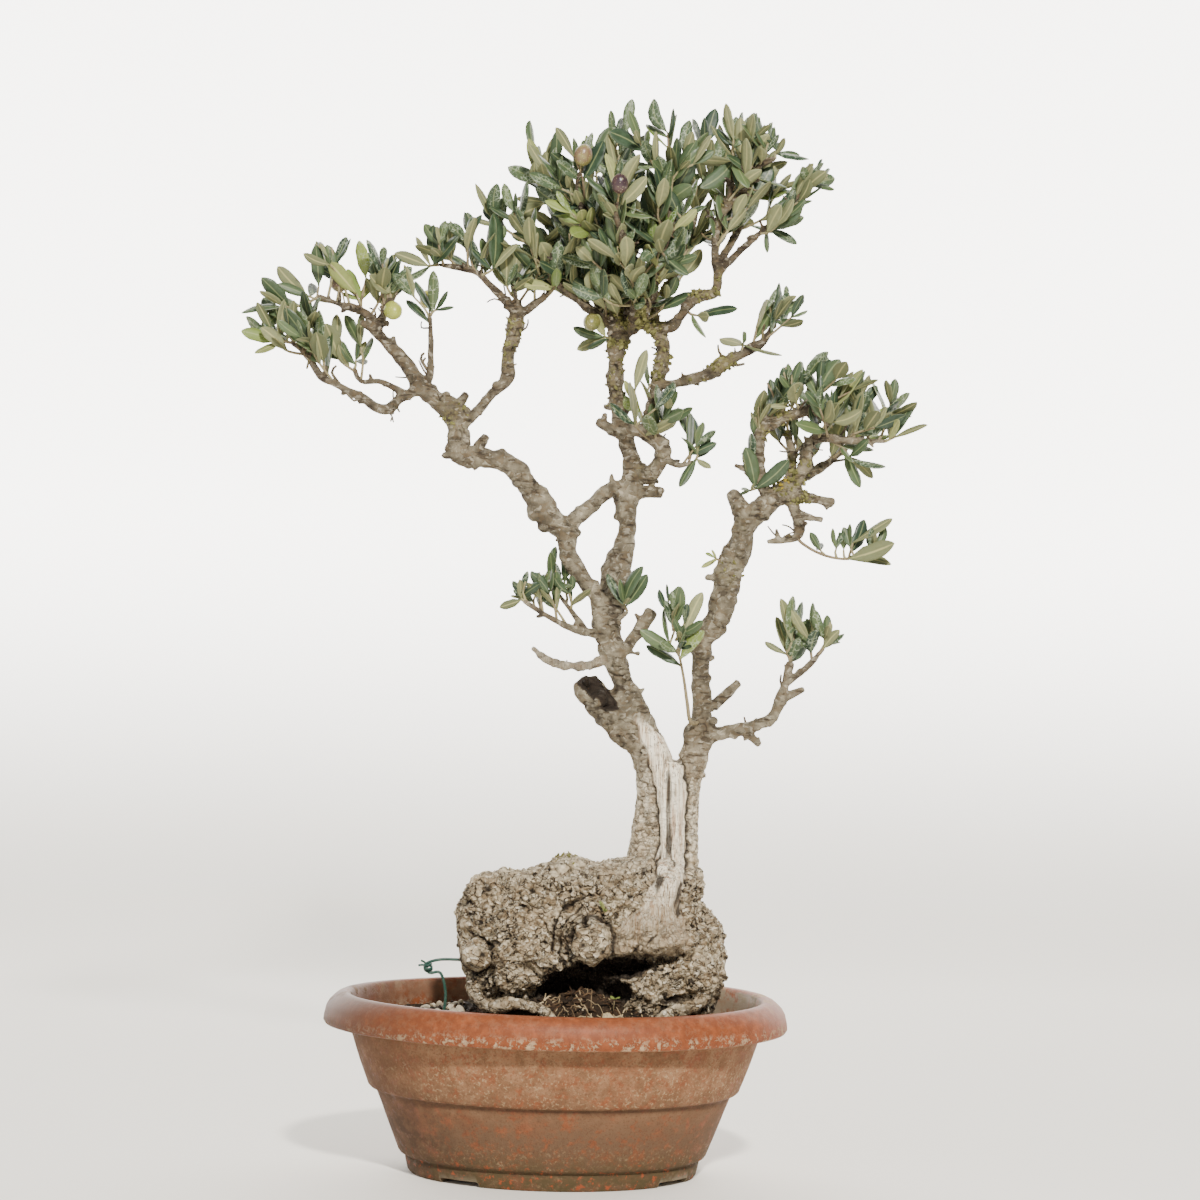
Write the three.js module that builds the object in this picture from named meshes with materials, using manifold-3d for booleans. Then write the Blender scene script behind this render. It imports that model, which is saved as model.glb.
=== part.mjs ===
// Olive bonsai: an old olive on a swollen burl, in an oval terracotta-coloured pot.
// Millimetres, +Z up, the front of the tree looks along -Y.
// The origin is the centre of the pot's flat base.
import * as THREE from 'three';
import { mergeVertices } from 'three/addons/utils/BufferGeometryUtils.js';
import Module from 'manifold-3d';

const wasm = await Module();
wasm.setup();

// ---- driving dimensions -------------------------------------------------
const clearance = 0.32;
const smallestStep = 0.02;
const potSquash = 0.75;
const potFloor = 7;
const potSides = 30;
const soilEdge = 107;
const soilSides = 24;
const barkLump = 3.2;
const leafThickness = 1.1;
const leafSlimness = 0.29;
const shootRadius = 1.05;
const leafReach = 29;
const longestLeaf = 37;

// Tree points are given as they stand in the front view, seen level from
// this distance, height and side; a point further back is spread to match.
const viewDistance = 2250;
const viewHeight = 415;
const viewSide = 25;

function place(x, z, y) {
  const spread = 1 + y / viewDistance;
  const px = viewSide + (x - viewSide) * spread;
  const pz = viewHeight + (z - viewHeight) * spread;
  return new THREE.Vector3(px, y, pz);
}

// ---- small tools --------------------------------------------------------
function seeded(seed) {
  let state = seed >>> 0;
  return () => {
    state = (state + 0x6d2b79f5) >>> 0;
    let mix = Math.imul(state ^ (state >>> 15), state | 1);
    mix ^= mix + Math.imul(mix ^ (mix >>> 7), mix | 61);
    return ((mix ^ (mix >>> 14)) >>> 0) / 4294967296;
  };
}

function buildGeometry(corners, faces) {
  const geometry = new THREE.BufferGeometry();
  const flat = corners.flatMap((corner) => [corner.x, corner.y, corner.z]);
  geometry.setAttribute('position', new THREE.Float32BufferAttribute(flat, 3));
  geometry.setIndex(faces.flat());
  return geometry;
}

function toSolid(source) {
  const geometry = source.clone();
  geometry.deleteAttribute('normal');
  geometry.deleteAttribute('uv');
  const merged = mergeVertices(geometry, 1e-4);
  const vertProperties = new Float32Array(merged.attributes.position.array);
  const triVerts = new Uint32Array(merged.index.array);
  const mesh = new wasm.Mesh({ numProp: 3, vertProperties, triVerts });
  mesh.merge();
  return new wasm.Manifold(mesh);
}

function toGeometry(solid) {
  const mesh = largestBody(solid.asOriginal().simplify(smallestStep)).getMesh();
  const geometry = new THREE.BufferGeometry();
  const points = new THREE.Float32BufferAttribute(mesh.vertProperties, 3);
  geometry.setAttribute('position', points);
  geometry.setIndex(new THREE.BufferAttribute(mesh.triVerts, 1));
  geometry.computeVertexNormals();
  return geometry;
}

function joinAll(solids) {
  let layer = solids;
  while (layer.length > 1) {
    const next = [];
    for (let i = 0; i < layer.length; i += 2) {
      next.push(i + 1 < layer.length ? layer[i].add(layer[i + 1]) : layer[i]);
    }
    layer = next;
  }
  return layer[0];
}

function largestBody(solid) {
  const bodies = solid.decompose();
  bodies.sort((a, b) => b.volume() - a.volume());
  return bodies[0];
}

// ---- rings, tubes and lathes --------------------------------------------
function closeRings(rings, startTip, endTip) {
  const corners = rings.flat();
  const count = rings[0].length;
  const faces = [];
  for (let r = 0; r + 1 < rings.length; r += 1) {
    for (let s = 0; s < count; s += 1) {
      const a = r * count + s;
      const b = r * count + ((s + 1) % count);
      faces.push([a, b, b + count], [a, b + count, a + count]);
    }
  }
  const first = corners.push(startTip) - 1;
  const last = corners.push(endTip) - 1;
  const top = (rings.length - 1) * count;
  for (let s = 0; s < count; s += 1) {
    const n = (s + 1) % count;
    faces.push([first, n, s], [last, top + s, top + n]);
  }
  return buildGeometry(corners, faces);
}

// A limb: one ring of corners at each given centre, closed by low points.
function limbGeometry(centres, radii, sides, pointed) {
  const rings = [];
  let normal = null;
  let startTip = null;
  let endTip = null;
  for (let i = 0; i < centres.length; i += 1) {
    const before = centres[Math.max(i - 1, 0)];
    const after = centres[Math.min(i + 1, centres.length - 1)];
    const along = after.clone().sub(before).normalize();
    if (!normal) {
      const aside = Math.abs(along.y) < 0.9;
      normal = aside ? new THREE.Vector3(0, 1, 0) : new THREE.Vector3(1, 0, 0);
    }
    normal = normal.clone().addScaledVector(along, -normal.dot(along)).normalize();
    const side = along.clone().cross(normal);
    const ring = [];
    for (let s = 0; s < sides; s += 1) {
      const angle = (s / sides) * Math.PI * 2;
      const corner = centres[i].clone();
      corner.addScaledVector(normal, Math.cos(angle) * radii[i]);
      corner.addScaledVector(side, Math.sin(angle) * radii[i]);
      ring.push(corner);
    }
    rings.push(ring);
    if (i === 0) {
      startTip = centres[i].clone().addScaledVector(along, -radii[i] * 0.35);
    }
    endTip = centres[i].clone().addScaledVector(along, radii[i] * pointed);
  }
  return closeRings(rings, startTip, endTip);
}

// ---- the pot ------------------------------------------------------------
// Each profile point is half the width of the oval and its height.
function potRing(half, height) {
  const ring = [];
  for (let s = 0; s < potSides; s += 1) {
    const angle = (s / potSides) * Math.PI * 2;
    const x = half * Math.cos(angle);
    const y = half * potSquash * Math.sin(angle);
    ring.push(new THREE.Vector3(x, y, height));
  }
  return ring;
}

const potOutside = [
  [101.5, 0], [106.5, 10.5], [106, 12.5], [111, 14.5], [121, 40],
  [128.5, 59], [134, 62], [141, 80], [149, 104.5], [152, 119],
  [159.5, 118], [164, 105.5], [168, 108], [166, 118], [161, 124],
  [156, 128], [151, 128],
];
const potInside = [[148.5, 126], [146, 104], [125.5, 52], [110, 18], [101, 8.5]];

function buildPot() {
  const rings = potOutside.map(([half, height]) => potRing(half, height));
  for (const [half, height] of potInside) {
    rings.push(potRing(half, height));
  }
  rings.push(potRing(97, potFloor));
  const under = new THREE.Vector3(0, 0, 0);
  const floor = new THREE.Vector3(0, 0, potFloor);
  let pot = toSolid(closeRings(rings, under, floor));
  for (const angle of [-31, -130, 31, 130]) {
    const turn = THREE.MathUtils.degToRad(angle);
    const channel = new THREE.BoxGeometry(70, 32, 7.6);
    channel.rotateZ(turn);
    channel.translate(85 * Math.cos(turn), 85 * potSquash * Math.sin(turn), 0);
    const drain = new THREE.CylinderGeometry(5, 5, 20, 10);
    drain.rotateX(Math.PI / 2);
    drain.translate(66 * Math.cos(turn), 66 * potSquash * Math.sin(turn), 5);
    pot = pot.subtract(toSolid(channel)).subtract(toSolid(drain));
  }
  return pot;
}

// ---- the wood -----------------------------------------------------------
// Limb points: across, height, radius, depth.
const limbs = {
  stemLeft: [[70, 276, 13, 0], [66, 299, 13.5, -1], [57, 320, 13.5, -2], [49, 336, 13.6, -3],
    [43, 354, 9.5, -3], [39, 366, 10, -3], [34, 380, 9.5, -2], [26, 404, 8, 0],
    [20, 420, 6.2, 0], [10, 433, 7.3, -2], [1, 449, 7.5, -5], [0, 464, 8.5, -7],
    [-14, 475, 9.2, -10], [-28, 495, 9, -12], [-37, 506, 8.5, -14], [-50, 514, 7.5, -16],
    [-66, 515, 7.5, -18], [-79, 518, 8, -20], [-81, 536, 8, -22], [-85, 549, 9, -23],
    [-97, 556, 7.2, -24], [-110, 568, 8, -26], [-117, 580, 5.5, -27], [-131, 595, 4.5, -29],
    [-144, 608, 4, -31], [-149, 618, 3.2, -32], [-166, 624, 2.7, -35], [-185, 630, 2, -38]],
  stemRight: [[88, 276, 10, 2], [96, 306, 11, 0], [101, 320, 12, 0], [102, 335, 8.4, 0],
    [99.5, 366, 7.2, -2], [100.6, 388, 8, -3], [109, 403, 9.2, -4], [116, 424, 10, -6],
    [117, 438, 11, -7], [125, 456, 10, -8], [129, 470, 9, -10], [139, 484, 8.2, -12],
    [150, 492, 9, -12], [166, 499, 8, -12]],
  rootLeft: [[-50, 145, 9, -22], [-60, 132, 5.5, -38], [-56, 125, 5, -46],
    [-46, 119, 4.8, -52], [-28, 121, 4.8, -57], [-10, 117, 4.2, -60], [0, 108, 3.6, -61]],
  rootRight: [[98, 146, 10, -18], [108, 135, 6, -32], [102, 124, 5.5, -42],
    [90, 119, 5, -48], [78, 113, 4.6, -51], [70, 106, 4, -52]],
  rootBack: [[50, 136, 10, 34], [66, 118, 6.5, 60], [80, 104, 5, 72]],
  stump: [[57, 314, 11, -3], [40, 327, 12.4, -6], [22, 348, 11, -8], [16, 357, 9, -8]],
  cutStub: [[38, 376, 6.5, -4], [46, 382, 5.6, -6], [63, 408, 5.2, -8]],
  jin: [[34, 374, 4.2, -4], [14, 367, 3.1, -10], [-9, 369, 2.4, -15], [-23, 379, 1.5, -17]],
  lowLeft: [[27, 390, 4, -3], [8, 393, 2.6, -10], [-12, 402, 2.1, -17], [-30, 413, 1.6, -22]],
  lowLeftSide: [[14, 394, 2.4, -7], [-7, 421, 1.5, -4]],
  lowCentre: [[28, 391, 3, -1], [45, 407, 1.7, -11]],
  limbBack: [[31, 392, 9, 0], [34, 414, 10, 6], [38, 438, 11, 13], [43, 466, 8, 19],
    [42, 484, 8.5, 20], [44, 497, 10.5, 20], [45.5, 516, 7, 20], [41, 532, 6.2, 19],
    [34, 556, 6, 18], [32, 578, 5.8, 16], [32, 598, 6.6, 14], [38, 612, 8.5, 12]],
  bridge: [[0, 466, 7, -6], [15, 482, 5.6, 4], [26, 492, 6, 11], [40, 498, 7, 18]],
  darkArm: [[47, 504, 5, 19], [60, 508, 6.4, 12], [69, 523, 6.3, 7], [60, 534, 6, 8],
    [42, 541, 5, 16]],
  columnRight: [[56, 531, 5, 9], [58, 551, 5, 8], [64, 580, 5, 8], [67, 602, 5, 8],
    [56, 614, 5, 10]],
  armStub: [[41, 534, 4.6, 18], [20, 544, 3.2, 12]],
  backStub: [[46, 494, 5, 18], [68, 494, 4.4, 9]],
  darkTwig: [[67, 520, 3.5, 7], [80, 514, 2, -2], [91, 517, 1.5, -6]],
  lichenBranch: [[62, 574, 4.5, 8], [71, 572, 3.6, 4], [84, 576, 4.6, -2], [98, 580, 5, -6],
    [118, 593, 4, -13], [130, 600, 4.2, -15], [139, 605, 2.8, -16], [145, 616, 1.8, -17]],
  junctionRight: [[-84, 548, 5, -23], [-75, 542, 4.6, -22], [-57, 562, 4.4, -18],
    [-46, 574, 5, -15], [-45, 592, 4.5, -12], [-41, 611, 6.4, -8], [-40, 631, 3.4, -8]],
  junctionTwig: [[-40, 619, 4, -8], [-20, 634, 2.2, -12]],
  leftShoot: [[-41, 622, 4, -8], [-60, 641, 2.8, -16], [-72, 651, 2.5, -20], [-98, 655, 1.7, -26]],
  elbowStubs: [[-72, 514, 4.6, -18], [-60, 532, 3, -21]],
  junctionStub: [[-84, 549, 4.8, -22], [-75, 562, 3.2, -25]],
  leftLower: [[-108, 566, 5, -25], [-123, 557, 4.6, -29], [-134, 549, 4.5, -32],
    [-151, 557, 3.5, -38], [-169, 566, 3, -43], [-181, 572, 2.7, -46], [-191, 586, 2.2, -46],
    [-203, 596, 1.7, -47]],
  leftLowerSide: [[-118, 560, 4, -28], [-137, 569, 2.4, -29], [-152, 569, 2, -25],
    [-157, 578, 1.8, -24]],
  darkRiser: [[-107, 564, 4.5, -26], [-102, 578, 2.5, -30], [-103, 618, 1.6, -35]],
  upLeftFork: [[-141, 607, 3.6, -31], [-132, 630, 2.2, -35]],
  rightStump: [[130, 478, 7.5, -12], [123, 487, 6.2, -16], [118, 495, 4.6, -19]],
  rightArm: [[147, 491, 5, -12], [140, 502, 5, -15], [137, 522, 5, -21], [139, 540, 5, -25],
    [149, 547, 4.4, -27], [166, 554, 4.5, -29], [178, 556, 3.8, -31], [189, 544, 2.5, -32]],
  rightArmTwig: [[143, 545, 4, -26], [145, 561, 2.2, -21]],
  rightArmBud: [[139, 510, 4, -17], [120, 515, 2, -24]],
  uprightStub: [[160, 496, 5, -12], [161, 520, 4, -5], [158, 541, 3, -2]],
  rightRise: [[164, 498, 5, -12], [171, 517, 4.4, -16], [177, 535, 4, -21], [203, 535, 2.7, -27],
    [229, 535, 1.7, -31]],
  rightBack: [[162, 502, 4.6, -8], [184, 516, 3.3, 12], [202, 530, 2.2, 24]],
  hollowStub: [[166, 495, 5, -12], [192, 489, 3.6, -15]],
  lowerHook: [[160, 493, 5, -13], [167, 476, 4.8, -16], [166, 464, 3.2, -18],
    [145, 460, 2.1, -23]],
  lowerStub: [[164, 481, 4, -15], [185, 477, 2.8, -9]],
  lowRight: [[99, 316, 7, -1], [112, 319.5, 6.2, -5], [133, 325, 4.6, -10], [150, 331, 4.6, -14],
    [157, 344, 4.4, -16], [164, 373, 2.8, -18]],
  lowRightFork: [[160, 357, 3.6, -17], [174, 368, 2.3, -23], [188, 384, 1.7, -26]],
  lowRightStub: [[158, 347, 4, -16], [174, 354, 2.4, -10]],
  lowRightDown: [[131, 324, 4, -10], [143, 313, 2.4, -13]],
  brokenStub: [[101, 334, 5, -1], [112, 343, 4.2, 6], [127, 358, 3.4, 9]],
  crownLeft: [[34, 612, 5, 10], [10, 627, 3.9, 1], [-11, 643, 3, -8], [-32, 671, 2.2, -13]],
  crownUpLeft: [[30, 610, 5, 14], [10, 646, 3.8, 22], [-6, 676, 3, 26], [-16, 698, 2.2, 28]],
  crownFrontLeft: [[32, 612, 5, 8], [24, 646, 4, -10], [13, 680, 3.1, -24], [6, 702, 2.2, -30]],
  crownCentre: [[40, 612, 5, 10], [42, 642, 4.8, 8], [38, 690, 3.4, 2], [36, 716, 2.4, 0]],
  crownFrontRight: [[50, 613, 5, 6], [59, 646, 4.1, -14], [67, 682, 3.2, -29],
    [72, 722, 2.2, -38]],
  crownBackRight: [[54, 613, 5, 12], [71, 648, 4.1, 29], [84, 684, 3.2, 40], [93, 722, 2.2, 45]],
  crownBack: [[38, 612, 5, 14], [31, 644, 4.1, 37], [22, 680, 3, 53], [20, 700, 2.2, 56]],
  crownFront: [[44, 610, 5, 6], [45, 638, 3.9, -22], [37, 670, 3, -44], [34, 688, 2.1, -50]],
  crownRight: [[56, 612, 5, 8], [73, 616, 4.8, 2], [87, 634, 4.8, -4], [103, 641, 4.8, -10],
    [104, 658, 4.4, -12], [102, 674, 3.8, -14], [105, 694, 4.8, -14], [112, 712, 2.8, -15],
    [115, 732, 2, -16]],
  crownFarRight: [[105, 655, 4, -12], [124, 674, 2.8, -20], [144, 693, 2.4, -24],
    [168, 717, 1.8, -28]],
  crownStub: [[107, 697, 4, -15], [124, 717, 2.6, -20], [133, 732, 2.4, -22],
    [144, 738, 2, -24]],
  crownRightBack: [[104, 660, 4, -10], [118, 684, 2.8, 12], [128, 706, 2, 26]],
  fruitTwigLeft: [[12, 684, 3, -25], [1, 710, 2, -42], [3, 725, 1.7, -51]],
  fruitTwigRight: [[38, 668, 3, -43], [30, 694, 2, -62], [31, 704, 1.7, -69]],
};

const burlCentre = [25, 162];
const burlOutline = [[-62, 128], [-67, 142], [-71, 160], [-72, 179], [-70, 195], [-64, 204],
  [-51, 211], [-41, 219], [-24, 218], [-12, 223], [1, 229], [6, 231], [13, 228], [25, 224],
  [36, 227], [48, 229], [72, 231], [92, 228], [102, 220], [104, 211], [102, 199], [112, 191],
  [117, 183], [121, 172], [121, 156], [119, 132], [112, 116], [102, 100], [60, 92], [0, 92],
  [-44, 100], [-56, 114]];
const burlDepth = 52;
const burlAround = 32;
const burlAcross = 10;

function outlineRadius(angle) {
  const marks = burlOutline.map(([x, z]) => {
    const dx = x - burlCentre[0];
    const dz = z - burlCentre[1];
    return [Math.atan2(dz, dx), Math.hypot(dx, dz)];
  });
  marks.sort((a, b) => a[0] - b[0]);
  marks.unshift([marks.at(-1)[0] - Math.PI * 2, marks.at(-1)[1]]);
  marks.push([marks[1][0] + Math.PI * 2, marks[1][1]]);
  const next = marks.findIndex((mark) => mark[0] >= angle);
  const [angleA, radiusA] = marks[next - 1];
  const [angleB, radiusB] = marks[next];
  return radiusA + ((radiusB - radiusA) * (angle - angleA)) / (angleB - angleA);
}

function lumps(x, y, z) {
  const broad = Math.sin(x * 0.11 + 1.3) * Math.sin(y * 0.13 + 0.4) * Math.sin(z * 0.12 + 2.1);
  const small = Math.sin(x * 0.27 + z * 0.21) * Math.sin(y * 0.31 - z * 0.17 + 0.8);
  return barkLump * (broad + 0.7 * small);
}

// Knobs that stand out of the burl: across, height, depth, width and rise.
const knobs = [[26, 165, -50, 13, 10], [-60, 157, -26, 11, 6], [106, 168, -34, 13, 5],
  [70, 178, -44, 16, 7], [-30, 196, -38, 16, 5], [-20, 150, 50, 18, 7], [70, 170, 48, 20, 6]];

function knobRise(x, y, z) {
  let rise = 0;
  for (const [kx, kz, ky, width, height] of knobs) {
    const away = Math.hypot(x + burlCentre[0] - kx, y - ky, z + burlCentre[1] - kz);
    rise += height * Math.exp(-((away / width) ** 2));
  }
  return rise;
}

// The trunk above the burl: two stems long since grown together, with a
// strip of bare dead wood standing forward between them.
const trunkRings = [[65, 172, 38, 34, 0], [69, 190, 32, 27, 0], [73, 208, 27, 22, 1],
  [75, 234, 25, 18.5, 2], [76.5, 262, 23.5, 16.5, 2], [78, 286, 22.5, 15, 1],
  [77.5, 298, 20, 12, 1]];
const trunkSection = [[1, 0], [0.82, 0.66], [0.34, 0.86], [-0.2, 1], [-0.72, 0.74], [-1, 0.04],
  [-0.8, -0.7], [-0.3, -0.84], [0.04, -1.06], [0.42, -0.98], [0.78, -0.62]];

function trunkGeometry(grow) {
  const rings = trunkRings.map(([x, z, wide, deep, y]) => trunkSection.map(([a, b]) => {
    return place(x + a * (wide + grow), z, y + b * (deep + grow));
  }));
  const low = place(trunkRings[0][0], trunkRings[0][1] - grow, 0);
  const high = place(78, 301 + grow, 1);
  return closeRings(rings, low, high);
}

function burlGeometry(grow) {
  const rings = [];
  for (let r = 1; r < burlAcross; r += 1) {
    const lean = (r / burlAcross - 0.5) * Math.PI;
    const flatShare = Math.cos(lean) ** 0.7;
    const deepShare = Math.sign(lean) * Math.abs(Math.sin(lean)) ** 0.9;
    const ring = [];
    for (let s = 0; s < burlAround; s += 1) {
      const angle = Math.PI - (s / burlAround) * Math.PI * 2;
      const rough = outlineRadius(angle);
      const y = burlDepth * deepShare;
      const x0 = rough * flatShare * Math.cos(angle);
      const z0 = rough * flatShare * Math.sin(angle);
      const bump = lumps(x0, y, z0) * Math.abs(deepShare) + knobRise(x0, y, z0) + grow;
      const out = 1 + bump / Math.hypot(x0, y, z0);
      const view = place(burlCentre[0] + x0 * out, burlCentre[1] + z0 * out, y * out);
      ring.push(view);
    }
    rings.push(ring);
  }
  const front = place(burlCentre[0], burlCentre[1], -burlDepth - grow);
  const back = place(burlCentre[0], burlCentre[1], burlDepth + grow);
  return closeRings(rings, front, back);
}

function ballGeometry(x, z, y, wide, high, deep) {
  const ball = new THREE.IcosahedronGeometry(1, 1);
  ball.scale(wide, deep, high);
  const centre = place(x, z, y);
  ball.translate(centre.x, centre.y, centre.z);
  return ball;
}

function sidesFor(radius) {
  if (radius > 12) return 7;
  if (radius > 7.6) return 6;
  if (radius > 5.5) return 5;
  return 4;
}

function buildWood(grow) {
  const solids = [toSolid(burlGeometry(grow)), toSolid(trunkGeometry(grow))];
  for (const points of Object.values(limbs)) {
    const centres = points.map(([x, z, , y]) => place(x, z, y));
    const radii = points.map((point) => point[2] + grow);
    const widest = Math.max(...points.map((point) => point[2]));
    solids.push(toSolid(limbGeometry(centres, radii, sidesFor(widest), 0.4)));
  }
  let wood = joinAll(solids);
  wood = wood.subtract(toSolid(ballGeometry(44, 127, -54, 50 - grow, 31 - grow, 36 - grow)));
  wood = wood.subtract(toSolid(ballGeometry(74, 137, -54, 26 - grow, 22 - grow, 34 - grow)));
  const trough = [[12, 363, 9], [22, 352, 8.5], [30, 342, 6.5], [38, 335, 3]];
  const troughCentres = trough.map(([x, z]) => place(x, z, -14));
  const troughRadii = trough.map((point) => point[2] - grow);
  wood = wood.subtract(toSolid(limbGeometry(troughCentres, troughRadii, 7, 0.4)));
  return largestBody(wood);
}

function onLimb(name, share) {
  const points = limbs[name];
  const step = Math.min(share, 0.999) * (points.length - 1);
  const index = Math.floor(step);
  const rest = step - index;
  const a = points[index];
  const b = points[index + 1];
  const mix = (k) => a[k] + (b[k] - a[k]) * rest;
  return place(mix(0), mix(1), mix(3));
}

// ---- soil ---------------------------------------------------------------
function soilHeight(x, y) {
  const edge = Math.hypot(x / 143, y / 106);
  const mound = 11 * Math.max(0, 1 - (edge / 0.86) ** 2);
  const heap = 9 * Math.exp(-(((x - 34) / 30) ** 2) - ((y + 34) / 16) ** 2);
  const rough = 1.3 * Math.sin(x * 0.19 + 0.5) * Math.sin(y * 0.23 + 1.1);
  return soilEdge + mound + heap + rough;
}

function soilRing(half, height) {
  const ring = [];
  for (let s = 0; s < soilSides; s += 1) {
    const angle = (s / soilSides) * Math.PI * 2;
    const x = half * Math.cos(angle);
    const y = half * potSquash * Math.sin(angle);
    ring.push(new THREE.Vector3(x, y, height ?? soilHeight(x, y)));
  }
  return ring;
}

function buildSoil() {
  const rings = [soilRing(93, potFloor + 0.4), soilRing(107.5, 18), soilRing(121.5, 52)];
  rings.push(soilRing(133, 78));
  rings.push(soilRing(142.5, soilEdge - 3));
  for (const half of [139, 118, 96, 70, 36]) {
    rings.push(soilRing(half));
  }
  const under = new THREE.Vector3(0, 0, potFloor + 0.4);
  const crown = new THREE.Vector3(0, 0, soilHeight(0, 0));
  const solids = [toSolid(closeRings(rings, under, crown))];
  const random = seeded(77);
  for (let i = 0; i < 9; i += 1) {
    const nearLeft = i < 6;
    const x = nearLeft ? -104 + 34 * random() : -40 + 160 * random();
    const y = nearLeft ? -34 + 50 * random() : -88 + 20 * random();
    const size = 2.4 + 2.6 * random();
    const stone = new THREE.OctahedronGeometry(size, 0);
    stone.scale(1.25, 1, 0.8);
    stone.rotateZ(random() * 3);
    stone.rotateX(random());
    stone.translate(x, y, soilHeight(x, y) + size * 0.1);
    solids.push(toSolid(stone));
  }
  for (let i = 0; i < 4; i += 1) {
    const x = 14 + 44 * random();
    const y = -62 + 22 * random();
    const turn = (random() - 0.5) * 2.2;
    const reach = 12 + 10 * random();
    const centres = [-1, 0, 1].map((end) => {
      const px = x + end * reach * Math.cos(turn);
      const py = y + end * reach * 0.6 * Math.sin(turn);
      const rise = end === 0 ? 3.2 : -1;
      return new THREE.Vector3(px, py, soilHeight(px, py) + rise);
    });
    solids.push(toSolid(limbGeometry(centres, [0.8, 1, 0.8], 3, 0.4)));
  }
  return joinAll(solids);
}

// ---- leafy shoots -------------------------------------------------------
// One blade: six rim corners and a raised middle on either face.
function leafGeometry(foot, heading, normal, length, bend, grow) {
  const side = heading.clone().cross(normal);
  const half = length * leafSlimness * 0.5 + grow;
  const spot = (along, across, up) => {
    const point = foot.clone();
    point.addScaledVector(heading, along * length);
    point.addScaledVector(side, across * half);
    point.addScaledVector(normal, up - bend * length * along * along);
    return point;
  };
  const rise = leafThickness * 0.5 + grow;
  const corners = [spot(0, 0, 0), spot(0.34, 0.86, 0), spot(0.72, 0.88, 0), spot(1, 0, 0),
    spot(0.72, -0.88, 0), spot(0.34, -0.86, 0), spot(0.54, 0, rise), spot(0.54, 0, -rise)];
  const faces = [];
  for (let s = 0; s < 6; s += 1) {
    const n = (s + 1) % 6;
    faces.push([s, n, 6], [n, s, 7]);
  }
  return buildGeometry(corners, faces);
}

const light = new THREE.Vector3(0.42, -0.72, 0.55).normalize();

// The way a blade faces: mostly to the light, now and then away from it.
function leafFace(heading, random) {
  const face = light.clone().multiplyScalar(random() < 0.72 ? 0.9 : -0.9);
  face.x += (random() - 0.5) * 1.5;
  face.y += (random() - 0.5) * 1.5;
  face.z += (random() - 0.5) * 1.5;
  face.addScaledVector(heading, -face.dot(heading)).normalize();
  return face;
}

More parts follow.
